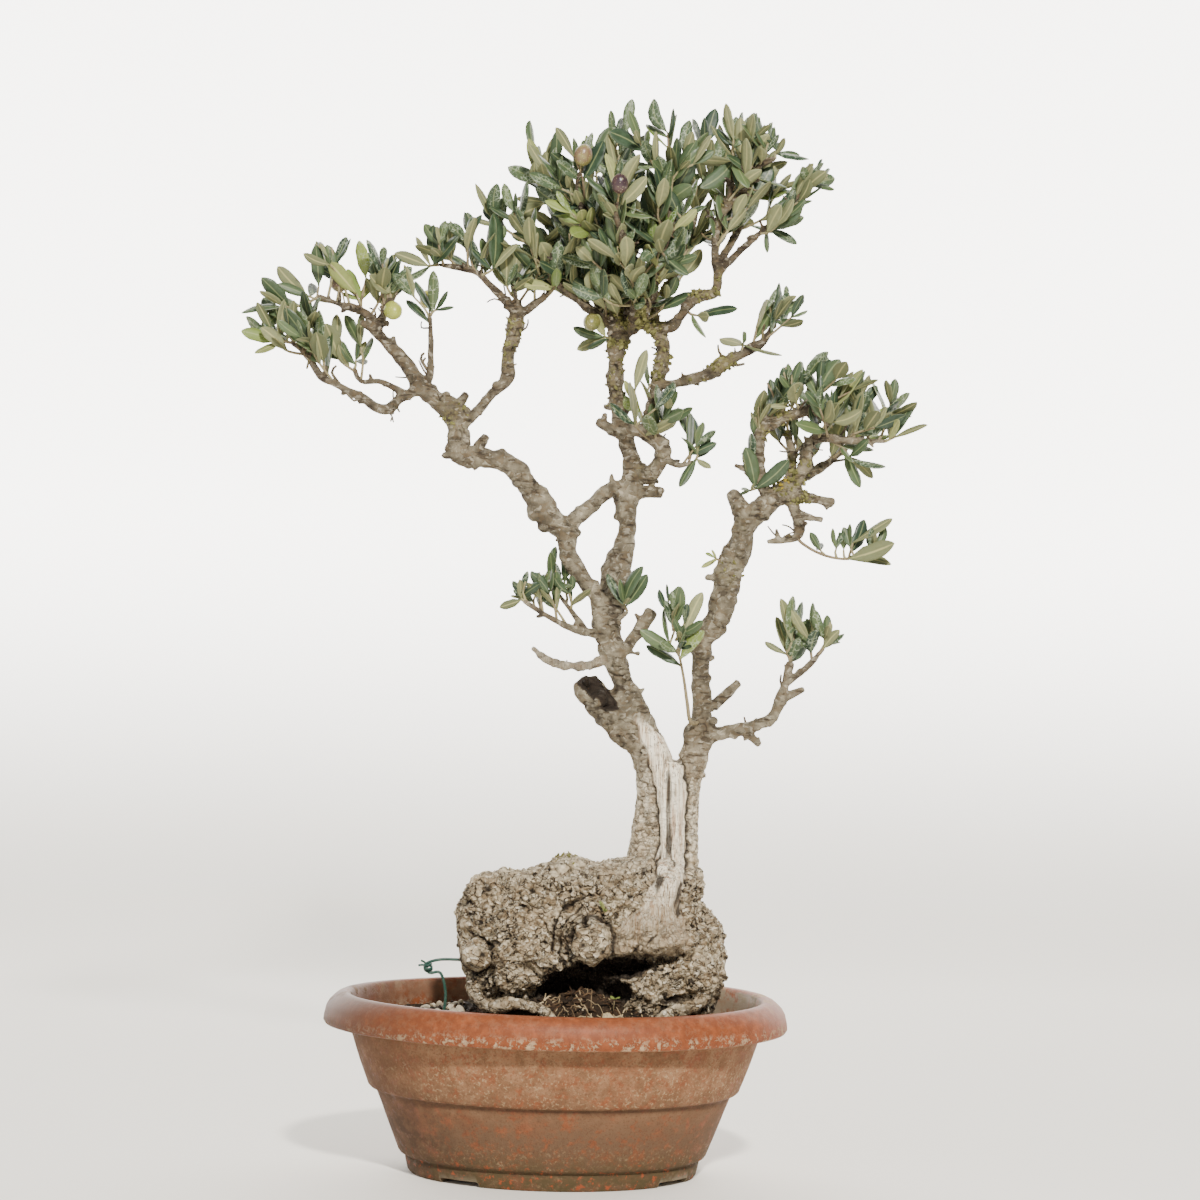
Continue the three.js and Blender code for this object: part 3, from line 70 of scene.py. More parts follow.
# Limb points as they stand in the front view: across, height, radius, depth.
LIMBS = {
  "stemLeft": [[70, 276, 13, 0], [66, 299, 13.5, -1], [57, 320, 13.5, -2], [49, 336, 13.6, -3],
    [43, 354, 9.5, -3], [39, 366, 10, -3], [34, 380, 9.5, -2], [26, 404, 8, 0],
    [20, 420, 6.2, 0], [10, 433, 7.3, -2], [1, 449, 7.5, -5], [0, 464, 8.5, -7],
    [-14, 475, 9.2, -10], [-28, 495, 9, -12], [-37, 506, 8.5, -14], [-50, 514, 7.5, -16],
    [-66, 515, 7.5, -18], [-79, 518, 8, -20], [-81, 536, 8, -22], [-85, 549, 9, -23],
    [-97, 556, 7.2, -24], [-110, 568, 8, -26], [-117, 580, 5.5, -27], [-131, 595, 4.5, -29],
    [-144, 608, 4, -31], [-149, 618, 3.2, -32], [-166, 624, 2.7, -35], [-185, 630, 2, -38]],
  "stemRight": [[88, 276, 10, 2], [96, 306, 11, 0], [101, 320, 12, 0], [102, 335, 8.4, 0],
    [99.5, 366, 7.2, -2], [100.6, 388, 8, -3], [109, 403, 9.2, -4], [116, 424, 10, -6],
    [117, 438, 11, -7], [125, 456, 10, -8], [129, 470, 9, -10], [139, 484, 8.2, -12],
    [150, 492, 9, -12], [166, 499, 8, -12]],
  "rootLeft": [[-50, 145, 9, -22], [-60, 132, 5.5, -38], [-56, 125, 5, -46],
    [-46, 119, 4.8, -52], [-28, 121, 4.8, -57], [-10, 117, 4.2, -60], [0, 108, 3.6, -61]],
  "rootRight": [[98, 146, 10, -18], [108, 135, 6, -32], [102, 124, 5.5, -42],
    [90, 119, 5, -48], [78, 113, 4.6, -51], [70, 106, 4, -52]],
  "rootBack": [[50, 136, 10, 34], [66, 118, 6.5, 60], [80, 104, 5, 72]],
  "stump": [[57, 314, 11, -3], [40, 327, 12.4, -6], [22, 348, 11, -8], [16, 357, 9, -8]],
  "cutStub": [[38, 376, 6.5, -4], [46, 382, 5.6, -6], [63, 408, 5.2, -8]],
  "jin": [[34, 374, 4.2, -4], [14, 367, 3.1, -10], [-9, 369, 2.4, -15], [-23, 379, 1.5, -17]],
  "lowLeft": [[27, 390, 4, -3], [8, 393, 2.6, -10], [-12, 402, 2.1, -17], [-30, 413, 1.6, -22]],
  "lowLeftSide": [[14, 394, 2.4, -7], [-7, 421, 1.5, -4]],
  "lowCentre": [[28, 391, 3, -1], [45, 407, 1.7, -11]],
  "limbBack": [[31, 392, 9, 0], [34, 414, 10, 6], [38, 438, 11, 13], [43, 466, 8, 19],
    [42, 484, 8.5, 20], [44, 497, 10.5, 20], [45.5, 516, 7, 20], [41, 532, 6.2, 19],
    [34, 556, 6, 18], [32, 578, 5.8, 16], [32, 598, 6.6, 14], [38, 612, 8.5, 12]],
  "bridge": [[0, 466, 7, -6], [15, 482, 5.6, 4], [26, 492, 6, 11], [40, 498, 7, 18]],
  "darkArm": [[47, 504, 5, 19], [60, 508, 6.4, 12], [69, 523, 6.3, 7], [60, 534, 6, 8],
    [42, 541, 5, 16]],
  "columnRight": [[56, 531, 5, 9], [58, 551, 5, 8], [64, 580, 5, 8], [67, 602, 5, 8],
    [56, 614, 5, 10]],
  "armStub": [[41, 534, 4.6, 18], [20, 544, 3.2, 12]],
  "backStub": [[46, 494, 5, 18], [68, 494, 4.4, 9]],
  "darkTwig": [[67, 520, 3.5, 7], [80, 514, 2, -2], [91, 517, 1.5, -6]],
  "lichenBranch": [[62, 574, 4.5, 8], [71, 572, 3.6, 4], [84, 576, 4.6, -2], [98, 580, 5, -6],
    [118, 593, 4, -13], [130, 600, 4.2, -15], [139, 605, 2.8, -16], [145, 616, 1.8, -17]],
  "junctionRight": [[-84, 548, 5, -23], [-75, 542, 4.6, -22], [-57, 562, 4.4, -18],
    [-46, 574, 5, -15], [-45, 592, 4.5, -12], [-41, 611, 6.4, -8], [-40, 631, 3.4, -8]],
  "junctionTwig": [[-40, 619, 4, -8], [-20, 634, 2.2, -12]],
  "leftShoot": [[-41, 622, 4, -8], [-60, 641, 2.8, -16], [-72, 651, 2.5, -20], [-98, 655, 1.7, -26]],
  "elbowStubs": [[-72, 514, 4.6, -18], [-60, 532, 3, -21]],
  "junctionStub": [[-84, 549, 4.8, -22], [-75, 562, 3.2, -25]],
  "leftLower": [[-108, 566, 5, -25], [-123, 557, 4.6, -29], [-134, 549, 4.5, -32],
    [-151, 557, 3.5, -38], [-169, 566, 3, -43], [-181, 572, 2.7, -46], [-191, 586, 2.2, -46],
    [-203, 596, 1.7, -47]],
  "leftLowerSide": [[-118, 560, 4, -28], [-137, 569, 2.4, -29], [-152, 569, 2, -25],
    [-157, 578, 1.8, -24]],
  "darkRiser": [[-107, 564, 4.5, -26], [-102, 578, 2.5, -30], [-103, 618, 1.6, -35]],
  "upLeftFork": [[-141, 607, 3.6, -31], [-132, 630, 2.2, -35]],
  "rightStump": [[130, 478, 7.5, -12], [123, 487, 6.2, -16], [118, 495, 4.6, -19]],
  "rightArm": [[147, 491, 5, -12], [140, 502, 5, -15], [137, 522, 5, -21], [139, 540, 5, -25],
    [149, 547, 4.4, -27], [166, 554, 4.5, -29], [178, 556, 3.8, -31], [189, 544, 2.5, -32]],
  "rightArmTwig": [[143, 545, 4, -26], [145, 561, 2.2, -21]],
  "rightArmBud": [[139, 510, 4, -17], [120, 515, 2, -24]],
  "uprightStub": [[160, 496, 5, -12], [161, 520, 4, -5], [158, 541, 3, -2]],
  "rightRise": [[164, 498, 5, -12], [171, 517, 4.4, -16], [177, 535, 4, -21], [203, 535, 2.7, -27],
    [229, 535, 1.7, -31]],
  "rightBack": [[162, 502, 4.6, -8], [184, 516, 3.3, 12], [202, 530, 2.2, 24]],
  "hollowStub": [[166, 495, 5, -12], [192, 489, 3.6, -15]],
  "lowerHook": [[160, 493, 5, -13], [167, 476, 4.8, -16], [166, 464, 3.2, -18],
    [145, 460, 2.1, -23]],
  "lowerStub": [[164, 481, 4, -15], [185, 477, 2.8, -9]],
  "lowRight": [[99, 316, 7, -1], [112, 319.5, 6.2, -5], [133, 325, 4.6, -10], [150, 331, 4.6, -14],
    [157, 344, 4.4, -16], [164, 373, 2.8, -18]],
  "lowRightFork": [[160, 357, 3.6, -17], [174, 368, 2.3, -23], [188, 384, 1.7, -26]],
  "lowRightStub": [[158, 347, 4, -16], [174, 354, 2.4, -10]],
  "lowRightDown": [[131, 324, 4, -10], [143, 313, 2.4, -13]],
  "brokenStub": [[101, 334, 5, -1], [112, 343, 4.2, 6], [127, 358, 3.4, 9]],
  "crownLeft": [[34, 612, 5, 10], [10, 627, 3.9, 1], [-11, 643, 3, -8], [-32, 671, 2.2, -13]],
  "crownUpLeft": [[30, 610, 5, 14], [10, 646, 3.8, 22], [-6, 676, 3, 26], [-16, 698, 2.2, 28]],
  "crownFrontLeft": [[32, 612, 5, 8], [24, 646, 4, -10], [13, 680, 3.1, -24], [6, 702, 2.2, -30]],
  "crownCentre": [[40, 612, 5, 10], [42, 642, 4.8, 8], [38, 690, 3.4, 2], [36, 716, 2.4, 0]],
  "crownFrontRight": [[50, 613, 5, 6], [59, 646, 4.1, -14], [67, 682, 3.2, -29],
    [72, 722, 2.2, -38]],
  "crownBackRight": [[54, 613, 5, 12], [71, 648, 4.1, 29], [84, 684, 3.2, 40], [93, 722, 2.2, 45]],
  "crownBack": [[38, 612, 5, 14], [31, 644, 4.1, 37], [22, 680, 3, 53], [20, 700, 2.2, 56]],
  "crownFront": [[44, 610, 5, 6], [45, 638, 3.9, -22], [37, 670, 3, -44], [34, 688, 2.1, -50]],
  "crownRight": [[56, 612, 5, 8], [73, 616, 4.8, 2], [87, 634, 4.8, -4], [103, 641, 4.8, -10],
    [104, 658, 4.4, -12], [102, 674, 3.8, -14], [105, 694, 4.8, -14], [112, 712, 2.8, -15],
    [115, 732, 2, -16]],
  "crownFarRight": [[105, 655, 4, -12], [124, 674, 2.8, -20], [144, 693, 2.4, -24],
    [168, 717, 1.8, -28]],
  "crownStub": [[107, 697, 4, -15], [124, 717, 2.6, -20], [133, 732, 2.4, -22],
    [144, 738, 2, -24]],
  "crownRightBack": [[104, 660, 4, -10], [118, 684, 2.8, 12], [128, 706, 2, 26]],
  "fruitTwigLeft": [[12, 684, 3, -25], [1, 710, 2, -42], [3, 725, 1.7, -51]],
  "fruitTwigRight": [[38, 668, 3, -43], [30, 694, 2, -62], [31, 704, 1.7, -69]],
}

# The burl's outline in the front view: across and height.
BURL_OUTLINE = [[-62, 128], [-67, 142], [-71, 160], [-72, 179], [-70, 195], [-64, 204],
  [-51, 211], [-41, 219], [-24, 218], [-12, 223], [1, 229], [6, 231], [13, 228], [25, 224],
  [36, 227], [48, 229], [72, 231], [92, 228], [102, 220], [104, 211], [102, 199], [112, 191],
  [117, 183], [121, 172], [121, 156], [119, 132], [112, 116], [102, 100], [60, 92], [0, 92],
  [-44, 100], [-56, 114]]

# Broad swellings of the burl: across, height, depth, width and how far they stand out.
KNOBS = [[26, 165, -50, 13, 10], [-60, 157, -26, 11, 6], [106, 168, -34, 13, 5],
  [70, 178, -44, 16, 7], [-30, 196, -38, 16, 5], [-20, 150, 50, 18, 7], [70, 170, 48, 20, 6]]

# The trunk from below: across, height, half its width, half its depth, and depth.
TRUNK_RINGS = [[65, 172, 38, 34, 0], [69, 190, 32, 27, 0], [73, 208, 27, 22, 1],
  [75, 234, 25, 18.5, 2], [76.5, 262, 23.5, 16.5, 2], [78, 286, 22.5, 15, 1],
  [77.5, 298, 20, 12, 1]]

# The trunk's cross-section, as shares of those two halves.
TRUNK_SECTION = [[1, 0], [0.82, 0.66], [0.34, 0.86], [-0.2, 1], [-0.72, 0.74], [-1, 0.04],
  [-0.8, -0.7], [-0.3, -0.84], [0.04, -1.06], [0.42, -0.98], [0.78, -0.62]]

# Leafy shoots: the limb and share of it (or the point) they grow from, and their leaves'
# tips: across, height and depth, for some with the leaf's length.
SPRAYS = {
  "left_end": [["stemLeft", 1], [[-240, 619, -44], [-226, 642, -52], [-218, 632, -24]]],
  "left_top": [["stemLeft", 0.975], [[-214, 650, -20], [-203, 640, -58], [-187, 667, -42]]],
  "left_bright": [["stemLeft", 0.935], [[-164, 651, -18], [-156, 671, -36], [-178, 655, -44]]],
  "left_fork": [["upLeftFork", 1], [[-134, 658, -30], [-150, 646, -52], [-118, 652, -48]]],
  "left_low": [["leftLower", 1], [[-239, 604, -56], [-222, 612, -36], [-206, 624, -66]]],
  "left_low_inner": [["leftLowerSide", 1], [[-149, 597, -14], [-166, 598, -34]]],
  "left_riser": [["darkRiser", 1], [[-91, 636, -44], [-114, 643, -30], [-102, 650, -52]]],
  "mid_left_tip": [["leftShoot", 1], [[-130, 662, -26], [-104, 683, -38], [-94, 685, -16],
    [-85, 677, -44]]],
  "mid_left_rise": [["leftShoot", 0.55], [[-57, 693, -34, 40], [-66, 676, -4]]],
  "mid_left_fork": [["junctionRight", 1], [[-52, 675, -16], [-36, 662, 8], [-30, 650, -30]]],
  "mid_left_twig": [["junctionTwig", 1], [[-11, 674, -24, 38], [-36, 640, -28]]],
  "column_left": [["limbBack", 0.93], [[2, 612, -2], [12, 596, 4]]],
  "column_spray": [["darkArm", 0.66], [[30, 558, -20], [45, 574, -28], [74, 573, -34],
    [77, 548, -16], [55, 597, -22]]],
  "column_right": [["darkTwig", 1], [[92, 542, -12], [102, 530, 4], [80, 500, -18],
    [103, 512, -16]]],
  "lichen_end": [["lichenBranch", 1], [[150, 648, -20], [158, 639, -34], [167, 638, -8],
    [166, 621, -26]]],
  "lichen_mid": [["lichenBranch", 0.62], [[124, 612, -24], [108, 604, 6], [152, 593, -22]]],
  "crown_low_right": [["crownRight", 0.2], [[119, 629, -14], [98, 609, -18]]],
  "crown_left_tip": [["crownLeft", 1], [[-75, 713, -20], [-57, 714, -34], [-66, 698, 2]]],
  "crown_left_low": [["crownLeft", 0.6], [[-46, 668, -24], [-30, 690, -34], [-8, 676, -28]]],
  "crown_upper_left": [["crownUpLeft", 1], [[-36, 747, 22], [-33, 762, 34], [-15, 753, 12],
    [-50, 728, 40], [-42, 706, 30], [-26, 722, 52], [-48, 690, 8]]],
  "crown_front_left": [["crownFrontLeft", 1], [[0, 749, -40], [10, 754, -20], [-18, 738, -50],
    [-26, 718, -40], [-16, 694, -44], [2, 700, -56], [-22, 674, -8]]],
  "crown_top": [["crownCentre", 1], [[25, 770, -8], [39, 779, 4], [35, 766, 22],
    [50, 752, -14], [54, 730, -10], [20, 726, -20], [56, 712, 18]]],
  "crown_top_right": [["crownFrontRight", 1], [[55, 779, -44], [70, 768, -52], [52, 762, -26],
    [86, 750, -50]]],
  "crown_mid_right": [["crownFrontRight", 0.6], [[86, 722, -46], [54, 722, -52], [88, 700, -34]]],
  "crown_back_right": [["crownBackRight", 1], [[82, 765, 52], [93, 766, 34], [100, 774, 50],
    [76, 752, 62], [106, 704, 50], [70, 712, 56], [108, 684, 36]]],
  "crown_rear": [["crownBack", 1], [[8, 752, 66], [26, 758, 54], [38, 742, 70], [-8, 736, 62],
    [-10, 700, 60], [46, 706, 64], [6, 682, 66]]],
  "crown_face": [["crownFront", 1], [[20, 738, -62], [44, 740, -68], [52, 722, -60],
    [8, 724, -60], [20, 694, -64], [56, 694, -58], [16, 672, -42], [62, 676, -40]]],
  "crown_right_tip": [["crownRight", 1], [[108, 777, -22], [121, 771, -8], [131, 768, -28],
    [96, 760, -14], [84, 738, -14], [92, 716, -34], [126, 718, -36]]],
  "crown_stub": [["crownStub", 1], [[141, 761, -16], [152, 753, -34], [162, 742, -14],
    [168, 740, -36]]],
  "crown_stub_low": [["crownStub", 0.45], [[153, 735, -10], [131, 748, -6], [110, 740, -30]]],
  "crown_far_right": [["crownFarRight", 1], [[180, 735, -30], [164, 732, -44], [188, 718, -20]]],
  "crown_right_low": [["crownFarRight", 0.5], [[166, 696, -20], [141, 670, -24], [164, 704, -38],
    [132, 706, -36]]],
  "crown_right_back": [["crownRightBack", 1], [[140, 738, 34], [118, 742, 32], [152, 716, 22]]],
  "right_arm_tip": [["rightArm", 1], [[192, 571, -40], [212, 586, -34], [201, 582, -20],
    [212, 556, -44]]],
  "right_arm_top": [["rightArm", 0.71], [[147, 572, -40], [162, 579, -24], [168, 590, -36],
    [187, 598, -30]]],
  "right_end": [["rightRise", 1], [[249, 564, -36], [236, 573, -22], [240, 551, -48],
    [224, 562, -30]]],
  "right_under": [["rightRise", 0.62], [[229, 519, -40], [221, 530, -20], [206, 520, -36],
    [213, 502, -26]]],
  "right_back": [["rightBack", 1], [[231, 560, 34], [216, 560, 18], [232, 540, 16]]],
  "right_inner": [["rightArm", 0.14], [[126, 498, -28], [128, 528, -34], [160, 520, -34]]],
  "hanging": [["lowerHook", 0.66], [[216, 478, -22], [236, 478, -34], [238, 461, -44],
    [235, 445, -26], [190, 476, -36]]],
  "low_right_tip": [["lowRight", 1], [[152, 405, -10], [155, 419, -24], [166, 421, -30],
    [176, 404, -8]]],
  "low_right_fork": [["lowRightFork", 1], [[181, 411, -34], [193, 402, -22], [202, 395, -32],
    [200, 388, -18]]],
  "low_left_tip": [["lowLeft", 1], [[-38, 421, -14], [-35, 429, -30], [-20, 425, -36],
    [-48, 408, -26]]],
  "low_left_side": [["lowLeftSide", 1], [[-7, 453, -2], [3, 426, -18], [-16, 432, -14]]],
  "low_centre": [["lowCentre", 1], [[40, 430, -18], [31, 435, -6], [55, 440, -20],
    [60, 434, -6]]],
  "thin_shoot": [["stemRight", 0.2], [[73, 410, -30], [83, 426, -36], [99, 422, -24],
    [100, 394, -38], [55, 394, -32], [60, 384, -22]]],
  "burl_shoot": [[36, 184, -40], [[32, 197, -58, 8], [41, 196, -57, 8], [38, 203, -52, 7]]],
  "limb_shoot": [[118, 442, -8], [[101, 451, -18, 12], [98, 440, -12, 12]]],
}

# Bare stretches of two shoots before their first leaf: across, height, depth.
SHOOT_PATHS = {
  "thin_shoot": [[93, 328, -14], [90, 342, -18], [87, 360, -22], [83, 377, -26]],
  "hanging": [[170, 460, -20], [180, 454, -24], [192, 450, -28], [204, 449, -30]],
}

# The line of the plant tie: across, height, depth.
TIE_PATH = [[-54, 151, -22], [-82, 152, -27], [-95, 148, -26], [-92, 142, -24],
  [-84, 142, -24], [-80, 128, -24], [-81, 112, -24]]


# ---- small tools ----------------------------------------------------------
def unit(v):
    return v / np.linalg.norm(v)


def place(x, z, y):
    """The real point at depth y that stands at x and z in the front view."""
    spread = 1 + y / VIEW_DISTANCE
    return np.array([VIEW_SIDE + (x - VIEW_SIDE) * spread, y,
                     VIEW_HEIGHT + (z - VIEW_HEIGHT) * spread])


def in_view(points):
    """Where real points stand in the front view: across and height."""
    spread = 1 + points[:, 1] / VIEW_DISTANCE
    x = VIEW_SIDE + (points[:, 0] - VIEW_SIDE) / spread
    z = VIEW_HEIGHT + (points[:, 2] - VIEW_HEIGHT) / spread
    return x, z


def seeded(seed):
    """The solids' own random numbers: the same seed gives the same draws."""
    state = [seed & 0xFFFFFFFF]

    def draw():
        state[0] = (state[0] + 0x6D2B79F5) & 0xFFFFFFFF
        s = state[0]
        mix = ((s ^ (s >> 15)) * (s | 1)) & 0xFFFFFFFF
        mix ^= (mix + (mix ^ (mix >> 7)) * (mix | 61)) & 0xFFFFFFFF
        return ((mix ^ (mix >> 14)) & 0xFFFFFFFF) / 4294967296

    return draw


def around(count):
    """Angles evenly round a full turn."""
    return np.arange(count) / count * 2 * math.pi


def oval(half, height, angles):
    """A ring of the pot's oval at one height, or at a height for each angle."""
    x, y = half * np.cos(angles), half * POT_SQUASH * np.sin(angles)
    return np.stack([x, y, np.broadcast_to(np.asarray(height, float), x.shape)], axis=1)


def smoothstep(low, high, value):
    """A smooth step from 0 at low to 1 at high."""
    t = np.clip((value - low) / (high - low), 0, 1)
    return t * t * (3 - 2 * t)


def hashed(ix, iy, iz, seed):
    """A number from 0 to 1 for each cell, always the same."""
    n = (ix * 374761393 + iy * 668265263 + iz * 1274126177 + seed * 110351) & 0xFFFFFFFF
    n = ((n ^ (n >> 13)) * 1274126177) & 0xFFFFFFFF
    return (n ^ (n >> 16)) / 4294967295.0


def noise(points, scale, seed=0):
    """Smooth value noise between -1 and 1 at points in millimetres."""
    q = points / scale
    i = np.floor(q).astype(np.int64)
    f = q - i
    u = f * f * (3 - 2 * f)
    total = np.zeros(len(points))
    for dx in (0, 1):
        wx = u[:, 0] if dx else 1 - u[:, 0]
        for dy in (0, 1):
            wy = u[:, 1] if dy else 1 - u[:, 1]
            for dz in (0, 1):
                wz = u[:, 2] if dz else 1 - u[:, 2]
                total += wx * wy * wz * hashed(i[:, 0] + dx, i[:, 1] + dy, i[:, 2] + dz, seed)
    return total * 2 - 1


def cells(points, scale, seed=0):
    """Distances to the two nearest cell centres, the cell's own tone, and the way off it."""
    q = points / scale
    base = np.floor(q).astype(np.int64)
    first = np.full(len(points), 1e9)
    second = np.full(len(points), 1e9)
    tone = np.zeros(len(points))
    off = np.zeros((len(points), 3))
    for dx in (-1, 0, 1):
        for dy in (-1, 0, 1):
            for dz in (-1, 0, 1):
                c = base + (dx, dy, dz)
                x, y, z = c[:, 0], c[:, 1], c[:, 2]
                spot = np.stack([hashed(x, y, z, seed + k) for k in (1, 2, 3)], axis=1)
                away = q - c - spot
                d = (away * away).sum(axis=1)
                closer = d < first
                second = np.where(closer, first, np.minimum(second, d))
                first = np.where(closer, d, first)
                tone = np.where(closer, hashed(x, y, z, seed + 9), tone)
                off = np.where(closer[:, None], away, off)
    return np.sqrt(first), np.sqrt(second), tone, off


def smooth_line(points, step, closed=False):
    """Catmull-Rom curve through the rows of points, one row about every step."""
    p = np.asarray(points, float)
    n = len(p)
    rows = []
    for i in range(n if closed else n - 1):
        a = p[(i - 1) % n] if closed else p[max(i - 1, 0)]
        b, c = p[i], p[(i + 1) % n]
        d = p[(i + 2) % n] if closed else p[min(i + 2, n - 1)]
        count = max(1, int(round(np.linalg.norm((c - b)[:3]) / step)))
        for t in np.arange(count) / count:
            rows.append(0.5 * (2 * b + (c - a) * t + (2 * a - 5 * b + 4 * c - d) * t * t
                               + (3 * b - a - 3 * c + d) * t ** 3))
    if not closed:
        rows.append(p[-1])
    return np.array(rows)


class Shell:
    """Gathers vertices, faces, material numbers and marks for one mesh."""

    def __init__(self):
        self.verts, self.faces, self.kinds, self.marks = [], [], [], []
        self.count = 0

    def add(self, verts, faces, kind=0, marks=(0, 0, 0, 0)):
        """Adds a shell; kind is one number or one for each face, and marks one row or many."""
        self.verts.append(np.asarray(verts, float))
        self.faces.extend([tuple(self.count + i for i in face) for face in faces])
        self.kinds.extend(kind if isinstance(kind, list) else [kind] * len(faces))
        marks = np.asarray(marks, float)
        if marks.ndim == 1:
            marks = np.tile(marks, (len(verts), 1))
        self.marks.append(marks)
        self.count += len(verts)

    def build(self, name, materials, slot, replaced=(), smooth=True):
        mesh = bpy.data.meshes.new(name)
        mesh.from_pydata((np.vstack(self.verts) * MM).tolist(), [], self.faces)
        for material in materials:
            mesh.materials.append(material)
        mesh.polygons.foreach_set("material_index", self.kinds)
        shade(mesh, smooth)
        write_marks(mesh, np.vstack(self.marks))
        mesh.update()
        settle(name, mesh, replaced)


def shade(mesh, smooth=True):
    mesh.polygons.foreach_set("use_smooth", [smooth] * len(mesh.polygons))


def write_marks(mesh, marks):
    """Four numbers for each corner, which the materials read as a colour."""
    colours = mesh.color_attributes.new("marks", "FLOAT_COLOR", "POINT")
    colours.data.foreach_set("color", np.asarray(marks, float).ravel())


def corner_rows(mesh, field):
    """A row of three numbers for each corner: its place or its normal."""
    flat = np.empty(len(mesh.vertices) * 3)
    mesh.vertices.foreach_get(field, flat)
    return flat.reshape(-1, 3)


def in_scene(name, data):
    obj = bpy.data.objects.new(name, data)
    bpy.context.scene.collection.objects.link(obj)
    return obj


def settle(name, mesh, replaced=()):
    """Puts a finished mesh on the part's body and the nodes it replaces."""
    piece = in_scene(name, mesh)
    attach(piece, "root")
    if replaced:
        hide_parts(*replaced)


def tube(line, radii, sides, blunt=0.35):
    """A round closed tube along a line; the ends are low domes."""
    line = np.asarray(line, float)
    radii = np.asarray(radii, float)
    along = np.gradient(line, axis=0)
    along /= np.linalg.norm(along, axis=1)[:, None]
    guide = np.array([0, 1.0, 0]) if abs(along[0][1]) < 0.9 else np.array([1.0, 0, 0])
    angles = around(sides)
    rings = []
    for centre, axis, radius in zip(line, along, radii):
        guide = unit(guide - axis * guide.dot(axis))
        side = np.cross(axis, guide)
        rings.append(centre + radius * (np.outer(np.cos(angles), guide)
                                        + np.outer(np.sin(angles), side)))
    return loft(rings, line[0] - along[0] * radii[0] * blunt,
                line[-1] + along[-1] * radii[-1] * blunt)


def loft(rings, low, high):
    """Closes a pile of rings, anticlockwise seen from above, with two points."""
    count = len(rings[0])
    verts = [np.asarray(low, float)]
    for ring in rings:
        verts.extend(ring)
    verts.append(np.asarray(high, float))
    last = len(verts) - 1
    top = last - count
    faces = []
    for first in range(1, top, count):
        for s in range(count):
            a, b = first + s, first + (s + 1) % count
            faces.append((a, b, b + count, a + count))
    for s in range(count):
        n = (s + 1) % count
        faces.append((0, 1 + n, 1 + s))
        faces.append((last, top + s, top + n))
    return np.array(verts), faces


def raw_mesh(verts, faces):
    """An object from points in millimetres, for use in a boolean."""
    mesh = bpy.data.meshes.new("raw")
    mesh.from_pydata((np.asarray(verts) * MM).tolist(), [], faces)
    return in_scene("raw", mesh)


def baked(obj):
    """The object's mesh with its modifiers applied; the object is removed."""
    graph = bpy.context.evaluated_depsgraph_get()
    mesh = bpy.data.meshes.new_from_object(obj.evaluated_get(graph))
    old = obj.data
    bpy.data.objects.remove(obj)
    bpy.data.meshes.remove(old)
    return mesh


def cut_by(obj, cutters):
    """The object's mesh with the cutters taken out of it; the object is removed."""
    for cutter in cutters:
        boolean = obj.modifiers.new("cut", "BOOLEAN")
        boolean.operation = "DIFFERENCE"
        boolean.solver = "EXACT"
        boolean.object = cutter
    return baked(obj)


def icosphere(cuts):
    """Corners and faces of a round ball of radius 1."""
    shape = bmesh.new()
    bmesh.ops.create_icosphere(shape, subdivisions=cuts, radius=1)
    points = np.array([v.co[:] for v in shape.verts])
    faces = [tuple(v.index for v in f.verts) for f in shape.faces]
    shape.free()
    return points, faces


ICO_POINTS, ICO_FACES = icosphere(1)
BALL_POINTS, BALL_FACES = icosphere(2)


# ---- materials --------------------------------------------------------------
def srgb(r, g, b):
    """A colour as a screen shows it, turned into linear light."""
    def lin(c):
        c /= 255
        return c / 12.92 if c <= 0.04045 else ((c + 0.055) / 1.055) ** 2.4
    return (lin(r), lin(g), lin(b), 1)


